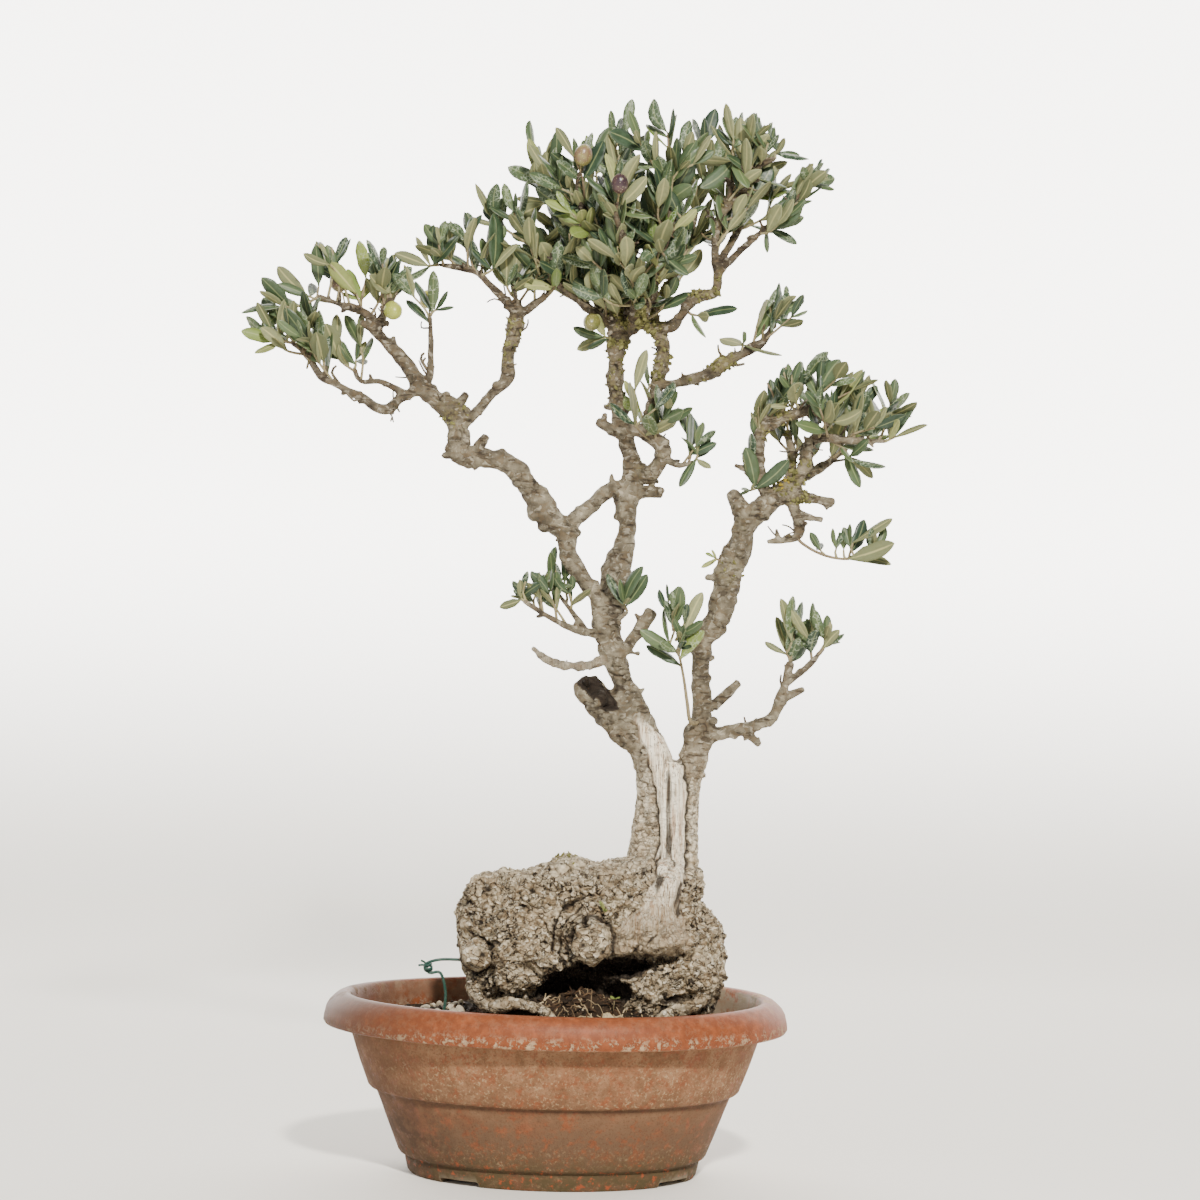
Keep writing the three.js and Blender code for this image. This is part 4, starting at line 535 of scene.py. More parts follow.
class Paint:
    """A short way to write a node material; sizes are in millimetres."""

    def __init__(self, name, roughness=0.7, specular=0.5):
        self.material = bpy.data.materials.new(name)
        self.material.use_nodes = True
        self.tree = self.material.node_tree
        self.shader = self.tree.nodes["Principled BSDF"]
        self.roughness(roughness)
        self.put(self.shader.inputs["Specular IOR Level"], specular)
        self.spot = self.node("ShaderNodeTexCoord").outputs["Object"]
        marks = self.node("ShaderNodeAttribute", attribute_name="marks")
        self.mark_alpha = marks.outputs["Alpha"]
        self.red, self.green, self.blue = self.split(marks.outputs["Color"])

    def node(self, kind, sockets=None, **settings):
        """A node with its settings, and a link or a value for each named socket."""
        node = self.tree.nodes.new(kind)
        for key, value in settings.items():
            setattr(node, key, value)
        for key, value in (sockets or {}).items():
            self.put(node.inputs[key], value)
        return node

    def put(self, target, value):
        if isinstance(value, bpy.types.NodeSocket):
            self.tree.links.new(value, target)
        else:
            target.default_value = value

    def split(self, colour):
        return self.node("ShaderNodeSeparateColor", {0: colour}).outputs[:3]

    def axes(self):
        """The piece's own x, y and z, in metres."""
        return self.node("ShaderNodeSeparateXYZ", {0: self.spot}).outputs

    def scaled(self, x=1, y=1, z=1):
        sockets = {"Vector": self.spot, "Scale": (x, y, z)}
        return self.node("ShaderNodeMapping", sockets).outputs[0]

    def noise(self, size, detail=4.0, rough=0.55, vector=None):
        """Noise whose features are about size across."""
        sockets = {"Vector": vector or self.spot, "Scale": 1000 / size, "Detail": detail,
                   "Roughness": rough, "Distortion": 0.0}
        return self.node("ShaderNodeTexNoise", sockets).outputs["Fac"]

    def vectors(self, operation, a, b):
        node = self.node("ShaderNodeVectorMath", {0: a, 1: b}, operation=operation)
        return node.outputs["Value" if operation == "DOT_PRODUCT" else 0]

    def warped(self, size, push, stretch=(1, 1, 1)):
        """The piece's own coordinates, pushed about by up to push."""
        source = self.scaled(*stretch)
        cloud = self.node("ShaderNodeTexNoise", {"Vector": source, "Scale": 1000 / size,
                                                 "Detail": 2})
        centred = self.vectors("SUBTRACT", cloud.outputs["Color"], (0.5, 0.5, 0.5))
        sized = self.node("ShaderNodeVectorMath", {0: centred, "Scale": push * 2 * MM},
                          operation="SCALE")
        return self.vectors("ADD", source, sized.outputs[0])

    def voronoi(self, size, vector=None, **settings):
        sockets = {"Vector": vector or self.spot, "Scale": 1000 / size}
        return self.node("ShaderNodeTexVoronoi", sockets, **settings).outputs

    def patches(self, size, vector=None):
        """A tone from 0 to 1 that is even over each patch."""
        return self.split(self.voronoi(size, vector)["Color"])[0]

    def flakes(self, size, vector):
        """The height of flakes that each lean their own way."""
        flake = self.voronoi(size, vector)
        away = self.vectors("SUBTRACT", vector, flake["Position"])
        lean = self.vectors("SUBTRACT", flake["Color"], (0.5, 0.5, 0.5))
        return self.times(self.vectors("DOT_PRODUCT", away, lean), 1000)

    def cracks(self, size, vector=None, feature="DISTANCE_TO_EDGE"):
        return self.voronoi(size, vector, feature=feature)["Distance"]

    def ramp(self, value, low, high, out_low=0.0, out_high=1.0):
        """A smooth step from out_low to out_high while value goes from low to high."""
        sockets = {"Value": value, "From Min": low, "From Max": high, "To Min": out_low,
                   "To Max": out_high}
        return self.node("ShaderNodeMapRange", sockets,
                         interpolation_type="SMOOTHSTEP").outputs[0]

    def maths(self, operation, a, b=0.0):
        return self.node("ShaderNodeMath", {0: a, 1: b}, operation=operation).outputs[0]

    def times(self, a, *others):
        for b in others:
            a = self.maths("MULTIPLY", a, b)
        return a

    def plus(self, a, b):
        return self.maths("ADD", a, b)

    def larger(self, a, b):
        return self.maths("MAXIMUM", a, b)

    def mix(self, share, a, b, blend="MIX"):
        node = self.node("ShaderNodeMix", {0: share, 6: a, 7: b}, data_type="RGBA",
                         blend_type=blend)
        return node.outputs[2]

    def colour(self, value):
        self.put(self.shader.inputs["Base Color"], value)

    def roughness(self, value):
        self.put(self.shader.inputs["Roughness"], value)

    def bump(self, height, depth):
        """Raises the surface by height times depth."""
        sockets = {"Strength": 1.0, "Distance": depth * MM, "Height": height}
        node = self.node("ShaderNodeBump", sockets)
        self.put(self.shader.inputs["Normal"], node.outputs[0])


def pot_material():
    m = Paint("terracotta_plastic", 0.6, 0.22)
    x, y, z = m.axes()
    clay = m.mix(m.noise(26, 5), srgb(127, 67, 37), srgb(106, 56, 31))
    clay = m.mix(m.ramp(m.noise(5, 4), 0.35, 0.75), clay, srgb(140, 78, 46))
    clay = m.mix(m.ramp(m.noise(1.3, 4, 0.7), 0.52, 0.66, 0, 0.35), clay, srgb(90, 50, 30))
    below = m.ramp(z, 0.1045, 0.1065, 1, 0)
    # a brown-grey film covers the body below the rim, with orange worn patches
    film = m.ramp(m.noise(34, 6, 0.62, m.scaled(1, 1, 1.6)), 0.24, 0.50, 0.35, 1)
    worn = m.ramp(m.noise(7, 6, 0.68), 0.50, 0.64, 1, 0.25)
    film = m.times(film, worn, below)
    dull = m.mix(m.ramp(m.noise(13, 5, 0.6), 0.35, 0.65), srgb(116, 86, 62), srgb(144, 110, 82))
    dull = m.mix(m.ramp(z, 0.085, 0.03), dull, srgb(92, 75, 58))
    colour = m.mix(m.times(film, 0.88), clay, dull)
    # fine grime, and pale specks that are thickest above the step
    grain = m.ramp(m.noise(1.6, 5, 0.7), 0.50, 0.64, 0, 0.55)
    colour = m.mix(m.times(grain, below), colour, srgb(82, 58, 40))
    band = m.times(m.ramp(z, 0.056, 0.064), m.ramp(z, 0.078, 0.104, 1, 0.25))
    band = m.larger(band, m.ramp(z, 0.04, 0.018, 0, 0.7))
    pale = m.times(m.ramp(m.noise(2.2, 4, 0.65), 0.52, 0.66), band,
                   m.ramp(m.noise(18, 4), 0.34, 0.6, 0.3, 0.75), below)
    colour = m.mix(pale, colour, srgb(166, 140, 106))
    # painted shade: a dark line under the body's step and under the foot's step, where the ledges'
    # shadows fall
    line = m.times(m.ramp(z, 0.0545, 0.0595), m.ramp(z, 0.0602, 0.0612, 1, 0))
    foot_step_shade = m.times(m.ramp(z, 0.0085, 0.0115), m.ramp(z, 0.0135, 0.0145, 1, 0))
    colour = m.mix(m.times(m.larger(line, foot_step_shade), 0.6), colour, srgb(52, 36, 26))
    # grey-green growth near the foot, with bare orange patches
    foot = m.ramp(z, 0.004, 0.036, 1, 0)
    green = m.ramp(m.noise(10, 6, 0.7), 0.30, 0.56)
    colour = m.mix(m.times(foot, green, 0.9), colour, srgb(74, 64, 42))
    # painted shade: the lower left of the body is darker in patches, as the side away from the light
    left = m.times(m.ramp(x, -0.03, -0.12), m.ramp(z, 0.095, 0.03),
                   m.ramp(m.noise(12, 6, 0.68), 0.34, 0.60))
    colour = m.mix(m.times(left, 0.85), colour, srgb(58, 47, 36))
    orange = m.ramp(m.noise(6, 6, 0.72), 0.57, 0.63)
    colour = m.mix(m.times(orange, foot, 0.75), colour, srgb(158, 74, 42))
    # lime bloom: along the lip's lower edge, on the ends of the rim, and inside
    lip = m.times(m.ramp(z, 0.1035, 0.107), m.ramp(z, 0.108, 0.1165, 1, 0.1))
    spots = m.ramp(m.noise(5.5, 8, 0.80), 0.505, 0.56)
    lime = m.times(lip, spots)
    ends = m.ramp(m.maths("ABSOLUTE", x), 0.09, 0.145, 0.15, 1)
    top = m.times(m.ramp(z, 0.117, 0.124), m.ramp(m.noise(11, 7, 0.75), 0.50, 0.58))
    top = m.times(top, m.times(ends, m.ramp(y, -0.06, 0.02, 0.1, 1)))
    lime = m.larger(lime, m.times(top, 0.9))
    colour = m.mix(m.times(lime, 0.8), colour, srgb(176, 154, 124))
    inner = m.times(m.green, m.ramp(m.noise(22, 6, 0.7), 0.38, 0.54),
                    m.ramp(x, -0.12, 0.09, 0.45, 1))
    colour = m.mix(m.times(inner, 0.85), colour, srgb(128, 118, 100))
    # painted shade: the left end of the pot is darker, as the side away from the light
    shaded_left_end = m.times(m.ramp(x, -0.06, -0.155),
                       m.ramp(m.noise(15, 6, 0.65), 0.3, 0.55, 0.5, 0.85))
    colour = m.mix(shaded_left_end, colour, srgb(80, 54, 38))
    m.colour(colour)
    m.roughness(m.ramp(m.larger(film, lime), 0, 1, 0.5, 0.85))
    m.bump(m.plus(m.times(m.noise(1.2, 4), 0.5), m.times(lime, 0.8)), 0.22)
    return m.material


def bark_material():
    """marks: red is bare dead wood, green is lichen, blue is the darkness of cracks and of painted
    shade in recesses and hollows, alpha is tone.
    """
    m = Paint("bark_and_deadwood", 0.88, 0.25)
    z = m.axes()[2]
    burl = m.ramp(z, 0.205, 0.25, 1, 0)
    low = m.ramp(z, 0.25, 0.33, 1, 0)
    pushed = m.warped(6.5, 4.6, (1, 1, 1.35))
    upright = m.warped(5, 3.0, (1, 1, 0.85))
    # plates on the burl, mottled bark on the limbs, greyer bark on the trunk
    tone = m.plus(m.times(m.mark_alpha, 0.5), m.times(m.patches(4.2, pushed), 0.5))
    cloudy = m.plus(m.times(m.mark_alpha, 0.4), m.times(m.noise(6, 5, 0.7), 0.6))
    plate = m.mix(m.ramp(tone, 0.15, 0.85), srgb(142, 123, 95), srgb(206, 192, 164))
    limb = m.mix(m.ramp(cloudy, 0.3, 0.7), srgb(80, 73, 60), srgb(142, 134, 114))
    shaded = m.mix(m.ramp(cloudy, 0.3, 0.7), srgb(50, 44, 36), srgb(108, 99, 82))
    # painted shade: limbs high in the crown are darker, as in the shade of the leaves
    limb = m.mix(m.ramp(z, 0.50, 0.62), limb, shaded)
    grey = m.mix(m.ramp(cloudy, 0.25, 0.7), srgb(192, 174, 144), srgb(238, 226, 200))
    bark = m.mix(low, limb, m.mix(burl, grey, plate))
    grime = m.ramp(m.noise(17, 5, 0.6), 0.42, 0.68)
    bark = m.mix(m.times(grime, 0.3), bark, m.mix(low, srgb(66, 57, 45), srgb(136, 116, 90)))
    fleck = m.times(m.ramp(m.noise(1.5, 4, 0.7), 0.54, 0.68), m.ramp(low, 0, 1, 0.6, 0.12))
    bark = m.mix(fleck, bark, srgb(66, 53, 42))
    chalk = m.ramp(m.noise(3.0, 4, 0.65), 0.58, 0.70)
    bark = m.mix(m.times(chalk, m.ramp(low, 0, 1, 0.16, 0.26)), bark, srgb(220, 208, 184))
    # painted highlight and painted shade: flakes are pale where they stand up and dark where they
    # sink
    leaning = m.flakes(5.6, pushed)
    small = m.flakes(2.6, upright)
    flaky = m.plus(m.times(leaning, 0.85), m.times(small, 0.3))
    bark = m.mix(m.ramp(flaky, -1.2, -0.2, 0.5, 0), bark, srgb(98, 82, 60))
    bright = m.times(m.ramp(flaky, 0.4, 1.15, 0, 0.65), m.ramp(low, 0, 1, 0.3, 1))
    bark = m.mix(bright, bark, srgb(240, 230, 208))
    # thin dark cracks of two sizes, open only here and there, and rings round the limbs
    wide = m.times(m.ramp(m.cracks(5.6, pushed), 0.015, 0.085, 1, 0),
                   m.ramp(m.noise(9, 4, 0.6), 0.43, 0.56, 0, 1.0))
    thin = m.times(m.ramp(m.cracks(2.8, upright), 0.02, 0.11, 1, 0),
                   m.ramp(m.noise(6, 4, 0.6), 0.50, 0.62, 0, 0.7))
    ringed = m.ramp(m.noise(3.0, 4, 0.6, m.warped(9, 2.5, (0.3, 0.3, 1))), 0.56, 0.64)
    lines = m.times(m.larger(wide, thin), m.ramp(low, 0, 1, 0.1, 1),
                    m.ramp(burl, 0, 1, 0.7, 1))
    lines = m.larger(lines, m.times(ringed, m.ramp(burl, 0, 1, 0.7, 0)))
    bark = m.mix(m.times(lines, 0.92), bark, srgb(48, 38, 30))
    # bare dead wood with vertical grain and reddish streaks
    long_grain = m.noise(2.0, 5, 0.68, m.scaled(1, 1, 0.06))
    streak = m.noise(5.5, 3, 0.6, m.scaled(1, 1, 0.08))
    dead = m.mix(m.ramp(long_grain, 0.34, 0.60), srgb(206, 184, 154), srgb(255, 247, 226))
    dead = m.mix(m.ramp(streak, 0.55, 0.65, 0, 0.65), dead, srgb(158, 116, 84))
    hair = m.ramp(m.noise(0.9, 4, 0.6, m.scaled(1, 1, 0.035)), 0.54, 0.61)
    dead = m.mix(m.times(hair, 0.85), dead, srgb(92, 72, 54))
    dead = m.mix(m.ramp(z, 0.235, 0.176, 0, 0.74), dead, srgb(128, 108, 80))
    colour = m.mix(m.red, bark, dead)
    # yellow-green lichen, and the blue mark's darkness: cracks, and painted shade in recesses and
    # hollows
    crust = m.mix(m.noise(2.4, 4, 0.7), srgb(88, 82, 50), srgb(146, 138, 92))
    patch = m.times(m.green, m.ramp(m.noise(3.4, 5, 0.7), 0.44, 0.58, 0, 0.8))
    colour = m.mix(patch, colour, crust)
    colour = m.mix(m.ramp(m.blue, 0.15, 0.95, 0, 0.94), colour, srgb(34, 26, 20))
    m.colour(colour)
    rough = m.plus(m.times(m.noise(1.3, 5, 0.6), 0.7), m.times(m.noise(0.55, 3, 0.6), 0.25))
    rough = m.plus(rough, m.times(long_grain, m.red, 1.5))
    rough = m.maths("SUBTRACT", rough, m.times(lines, 1.4))
    live = m.maths("SUBTRACT", 1.0, m.red)
    rough = m.plus(rough, m.times(flaky, live, m.ramp(low, 0, 1, 0.4, 1.7)))
    m.bump(rough, 0.75)
    return m.material


def soil_material():
    m = Paint("potting_soil", 0.95, 0.2)
    dark = m.mix(m.noise(3, 5, 0.7), srgb(22, 17, 13), srgb(58, 46, 34))
    warm = m.ramp(m.noise(14, 4), 0.45, 0.7)
    dark = m.mix(m.times(warm, 0.3), dark, srgb(70, 54, 40))
    speck = m.ramp(m.cracks(1.9, feature="F1"), 0.16, 0.30, 1, 0)
    colour = m.mix(m.times(speck, 0.3), dark, srgb(126, 102, 76))
    m.colour(m.mix(m.red, colour, m.mix(m.mark_alpha, srgb(96, 70, 46), srgb(158, 134, 104))))
    m.bump(m.noise(0.9, 4, 0.7), 0.6)
    return m.material


def litter_material():
    """marks: red picks stone, green straw and root, blue bark chip; alpha is tone."""
    m = Paint("pebbles_straw_and_roots", 0.85, 0.25)
    stone = m.mix(m.mark_alpha, srgb(146, 130, 106), srgb(206, 196, 174))
    straw = m.mix(m.mark_alpha, srgb(84, 60, 40), srgb(204, 184, 146))
    chip = m.mix(m.mark_alpha, srgb(30, 24, 19), srgb(84, 64, 46))
    crumb = m.mix(m.mark_alpha, srgb(24, 18, 14), srgb(66, 52, 39))
    colour = m.mix(m.red, crumb, stone)
    colour = m.mix(m.green, colour, straw)
    colour = m.mix(m.blue, colour, chip)
    fine = m.ramp(m.noise(0.9, 4, 0.7), 0.35, 0.7, 0.78, 1.12)
    grey = m.node("ShaderNodeCombineColor", {0: fine, 1: fine, 2: fine}).outputs[0]
    m.colour(m.mix(1.0, colour, grey, "MULTIPLY"))
    m.bump(m.noise(0.7, 4, 0.7), 0.3)
    return m.material


def leaf_upper_material():
    """marks: red is the leaf's tone, green its youth, blue its pale network, alpha the midrib."""
    m = Paint("leaf_upper_face", 0.42, 0.45)
    old = m.mix(m.ramp(m.red, 0, 1), srgb(35, 54, 37), srgb(84, 100, 62))
    old = m.mix(m.times(m.ramp(m.noise(7, 3), 0.4, 0.7), 0.35), old, srgb(76, 98, 74))
    young = m.mix(m.red, srgb(92, 116, 48), srgb(140, 154, 76))
    colour = m.mix(m.green, old, young)
    net = m.times(m.ramp(m.cracks(2.6), 0.02, 0.14, 1, 0),
                  m.ramp(m.noise(4.5, 4, 0.6), 0.42, 0.6), m.blue)
    colour = m.mix(m.times(net, 0.8), colour, srgb(172, 184, 158))
    colour = m.mix(m.ramp(m.mark_alpha, 0.7, 1, 0, 0.5), colour, srgb(150, 158, 108))
    m.colour(colour)
    m.roughness(m.ramp(m.noise(3, 3), 0.3, 0.7, 0.36, 0.55))
    m.bump(m.plus(m.noise(2.0, 3), m.times(net, 0.5)), 0.25)
    return m.material


def leaf_under_material():
    m = Paint("leaf_silver_underside", 0.7, 0.3)
    old = m.mix(m.red, srgb(92, 99, 69), srgb(144, 147, 108))
    young = m.mix(m.red, srgb(128, 138, 78), srgb(172, 178, 114))
    colour = m.mix(m.green, old, young)
    stain = m.times(m.ramp(m.noise(3, 4, 0.6), 0.4, 0.7), 0.3)
    colour = m.mix(stain, colour, srgb(104, 102, 66))
    colour = m.mix(m.ramp(m.mark_alpha, 0.6, 1, 0, 0.6), colour, srgb(190, 184, 126))
    m.colour(colour)
    m.bump(m.noise(1.2, 3), 0.15)
    return m.material


def shoot_material():
    m = Paint("young_shoot_bark", 0.75, 0.3)
    colour = m.mix(m.red, srgb(126, 112, 88), srgb(158, 152, 112))
    stain = m.times(m.ramp(m.noise(2.2, 4, 0.6), 0.45, 0.65), 0.5)
    m.colour(m.mix(stain, colour, srgb(92, 78, 60)))
    m.bump(m.noise(0.9, 3), 0.25)
    return m.material


def olive_material(name, base, blush, dots):
    m = Paint(name, 0.34, 0.5)
    colour = m.mix(m.ramp(m.noise(11, 3, 0.5), 0.46, 0.66), base, blush)
    dotted = m.times(m.ramp(m.cracks(1.5, feature="F1"), 0.12, 0.24, 1, 0), 0.7)
    colour = m.mix(dotted, colour, dots)
    m.colour(m.mix(m.red, colour, srgb(122, 108, 70)))
    m.bump(m.noise(1.4, 3), 0.12)
    return m.material


def tie_material():
    m = Paint("green_coated_tie", 0.45, 0.5)
    colour = m.mix(m.noise(5, 3), srgb(20, 52, 44), srgb(38, 84, 72))
    worn = m.times(m.ramp(m.noise(2, 4, 0.7), 0.5, 0.7), 0.4)
    m.colour(m.mix(worn, colour, srgb(120, 122, 100)))
    m.bump(m.noise(1.6, 3), 0.2)
    return m.material


def lichen_material():
    m = Paint("lichen_tufts", 0.92, 0.2)
    colour = m.mix(m.red, srgb(88, 86, 50), srgb(140, 136, 86))
    colour = m.mix(m.green, colour, srgb(176, 152, 48))
    m.colour(m.mix(m.times(m.noise(1.1, 4), 0.5), colour, srgb(84, 84, 48)))
    m.bump(m.noise(0.6, 3), 0.4)
    return m.material


def stage_material():
    """A pale sweep whose wall glows a little; seen from behind, it isn't there."""
    m = Paint("pale_stage", 0.9, 0.1)
    m.colour(m.mix(m.noise(700, 2), srgb(238, 234, 226), srgb(243, 240, 233)))
    m.put(m.shader.inputs["Emission Color"], (1.0, 0.98, 0.95, 1))
    glow = m.ramp(m.axes()[2], 0.0, 0.55, 0, WALL_GLOW)
    m.put(m.shader.inputs["Emission Strength"], glow)
    from_behind = m.node("ShaderNodeNewGeometry").outputs["Backfacing"]
    clear = m.node("ShaderNodeBsdfTransparent").outputs[0]
    chosen = m.node("ShaderNodeMixShader", {0: from_behind, 1: m.shader.outputs[0], 2: clear})
    m.put(m.tree.nodes["Material Output"].inputs["Surface"], chosen.outputs[0])
    return m.material


# ---- the pot ------------------------------------------------------------------
# Profiles of the pot: half the width of its oval, and the height.
POT_OUTSIDE = [[101.5, 0], [103.2, 0.3], [104.6, 2.2], [106.2, 9.0], [106.5, 10.8], [106.1, 12.0],
    [107.2, 13.4], [110.2, 14.3], [111.6, 16.2], [115.9, 27], [121, 40], [124.6, 49.6],
    [127.8, 57.4], [128.6, 59.2], [129.6, 60.4], [132.8, 61.2], [134.4, 62.8], [137.4, 70.6],
    [141, 80], [145.2, 92.6], [149, 104.5], [150.8, 112], [152, 118.2], [153.2, 119.4],
    [157.6, 118.9], [159.6, 117.6], [161.4, 112.6], [163.6, 106.2], [164.6, 105.3],
    [166.6, 105.9], [167.9, 107.9], [167.6, 111.4], [166, 118], [163.9, 121.6], [161, 124.4],
    [158.2, 126.7], [155.4, 128], [152.4, 128.1], [150.2, 127.5]]
POT_INSIDE = [[148.7, 125.8], [147.6, 117], [146, 104], [136.2, 79], [125.5, 52], [117, 33],
    [110, 18], [104, 10], [101, 8.5], [97, 7]]


def pot_piece():
    """The bowl: one closed lofted shell, outside and inside."""
    angles = around(240)
    rings, marks = [], [(0, 0, 0, 0)]
    for index, (half, height) in enumerate(POT_OUTSIDE + POT_INSIDE):
        ring = oval(half, height, angles)
        inside = index >= len(POT_OUTSIDE)
        # the lip has warped a little with age
        if height > 60:
            lift = (height - 60) / 68
            ring[:, 2] += lift * 0.7 * np.sin(angles * 2 + 0.6)
            ring[:, :2] *= (1 + lift * 0.0022 * np.sin(angles * 3 + 2))[:, None]
        rings.append(ring)
        marks.extend([(0, float(inside), 0, 0)] * len(angles))
    marks.append((0, 1, 0, 0))
    body = raw_mesh(*loft(rings, (0, 0, 0), (0, 0, 7)))
    write_marks(body.data, marks)
    # four channels under the foot, each with a drain hole
    cutters = []
    for degrees in (-31, -130, 31, 130):
        turn = math.radians(degrees)
        out = np.array([math.cos(turn), math.sin(turn), 0])
        side = np.array([-out[1], out[0], 0])
        middle = np.array([85 * out[0], 85 * POT_SQUASH * out[1], 0])
        corners = [middle + out * a * half_long + side * b * half_wide + (0, 0, height)
                   for height, half_long, half_wide in ((-4, 35, 16), (2.6, 35, 16), (3.8, 34, 15))
                   for a, b in ((-1, -1), (1, -1), (1, 1), (-1, 1))]
        box = [(3, 2, 1, 0), (8, 9, 10, 11)]
        box += [(a + s, a + (s + 1) % 4, a + 4 + (s + 1) % 4, a + 4 + s)
                for a in (0, 4) for s in range(4)]
        cutters.append(raw_mesh(corners, box))
        drain = np.array([66 * out[0], 66 * POT_SQUASH * out[1], 0])
        cutters.append(raw_mesh(*tube([drain + (0, 0, -5), drain + (0, 0, 15)], [5, 5], 24, 0)))
    mesh = cut_by(body, cutters)
    for cutter in cutters:
        bpy.data.objects.remove(cutter)
    mesh.materials.clear()
    mesh.materials.append(pot_material())
    shade(mesh)
    mesh.set_sharp_from_angle(angle=math.radians(40))
    settle("pot_body", mesh, ["pot"])


# ---- the wood ------------------------------------------------------------------
# Swellings of the burl and hollows under it: across, height, depth, and the three radii.
BURL_LUMPS = [[-60, 156, -37, 12.5, 12.5, 14], [26, 168, -56, 15, 16.5, 15],
    [21, 160, -56, 12, 10, 12],
    [-51, 202, -22, 14, 10.5, 14], [-60, 184, -16, 11, 12, 14], [-18, 200, -38, 15, 13, 13],
    [9, 204, -38, 13, 13, 12], [30, 213, -30, 14, 11, 13], [52, 199, -42, 15, 12, 12],
    [-26, 166, -44, 23, 23, 15], [108, 178, -16, 11, 13, 17], [104, 146, -30, 14, 19, 17],
    [76, 171, -43, 26, 9, 15], [2, 180, -42, 8, 24, 13], [-48, 150, 34, 18, 22, 16],
    [-46, 182, 36, 20, 14, 13], [-14, 196, 34, 16, 14, 14], [50, 172, 46, 16, 17, 12],
    [-32, 140, -44, 13, 11, 12], [-6, 153, -46, 12, 11, 13],
    [20, 190, 38, 24, 18, 14], [84, 160, 38, 20, 26, 14], [-10, 140, 44, 20, 22, 12]]
# The hollows' last number is how far each is turned, in degrees.
CAVES = [[43, 147, -62, 52, 10.5, 52, 11], [19, 127, -62, 36, 22, 52, 0],
    [-15, 117, -70, 43, 19, 34, 0], [-39, 124, -50, 11, 13, 18, 0]]
# Eyes in the bark: across, height and size.
EYES = [[-55, 155.5, 2.2], [-61.5, 149, 1.8], [20, 180, 3.2], [19, 164.5, 2.0], [42.5, 185.5, 1.7],
    [27, 194, 1.5], [-51, 204, 3.4], [-67, 195, 2.6], [-18.5, 204, 3.2], [8.5, 203, 2.4],
    [28.5, 215, 3.0], [52, 202, 3.0], [33, 160, 1.8], [104, 170, 2.2], [-34, 170, 2.0]]
# The hollow in the broken stump: across, height, depth and radius.
TROUGH = [[13, 366, -16, 9.5], [21, 356, -16, 8.5], [29, 346, -16, 7], [36, 336, -15, 3.5]]
BURL_CENTRE = (25.0, 162.0)
BURL_DEPTH = 52.0


def outline_radius(angles):
    """How far the burl's outline lies from its centre at each angle."""
    marks = sorted((math.atan2(z - BURL_CENTRE[1], x - BURL_CENTRE[0]),
                    math.hypot(x - BURL_CENTRE[0], z - BURL_CENTRE[1])) for x, z in BURL_OUTLINE)
    return np.interp(angles, *zip(*marks), period=2 * math.pi)


def burl_shell():
    """The burl: rings from front to back that follow its outline."""
    steps = 56
    angles = math.pi - around(150)
    radius = outline_radius(angles)
    rings = []
    for r in range(1, steps):
        lean = (r / steps - 0.5) * math.pi
        flat = math.cos(lean) ** 0.7
        deep = math.copysign(abs(math.sin(lean)) ** 0.9, lean)
        y = BURL_DEPTH * deep
        x0, z0 = radius * flat * np.cos(angles), radius * flat * np.sin(angles)
        broad = np.sin(x0 * 0.11 + 1.3) * np.sin(y * 0.13 + 0.4) * np.sin(z0 * 0.12 + 2.1)
        small = np.sin(x0 * 0.27 + z0 * 0.21) * np.sin(y * 0.31 - z0 * 0.17 + 0.8)
        bump = BARK_LUMP * (broad + 0.7 * small) * abs(deep)
        for kx, kz, ky, width, height in KNOBS:
            away = np.sqrt((x0 + BURL_CENTRE[0] - kx) ** 2 + (y - ky) ** 2
                           + (z0 + BURL_CENTRE[1] - kz) ** 2)
            bump = bump + height * np.exp(-(away / width) ** 2)
        out = 1 + bump / np.sqrt(x0 ** 2 + y ** 2 + z0 ** 2)
        rings.append([place(BURL_CENTRE[0] + a * o, BURL_CENTRE[1] + c * o, y * o)
                      for a, c, o in zip(x0, z0, out)])
    front = place(*BURL_CENTRE, -BURL_DEPTH)
    back = place(*BURL_CENTRE, BURL_DEPTH)
    return loft(rings, front, back)


def trunk_shell():
    """The trunk: its section at each ring."""
    section = smooth_line(TRUNK_SECTION, 0.12, closed=True)
    steps = smooth_line(TRUNK_RINGS, 4)
    rings = [[place(x + a * wide, z, y + b * deep) for a, b in section]
             for x, z, wide, deep, y in steps]
    low = place(TRUNK_RINGS[0][0], TRUNK_RINGS[0][1], 0)
    return loft(rings, low, place(78, 301, 1))


def limb_line(name):
    """A limb's smooth line of real points, and its radii."""
    rows = smooth_line([[x, z, y, r] for x, z, r, y in LIMBS[name]], 3)
    radii = np.maximum(rows[:, 3], 0.8) * (0.84 if name.startswith("crown") else 0.96)
    return np.array([place(x, z, y) for x, z, y, _ in rows]), radii


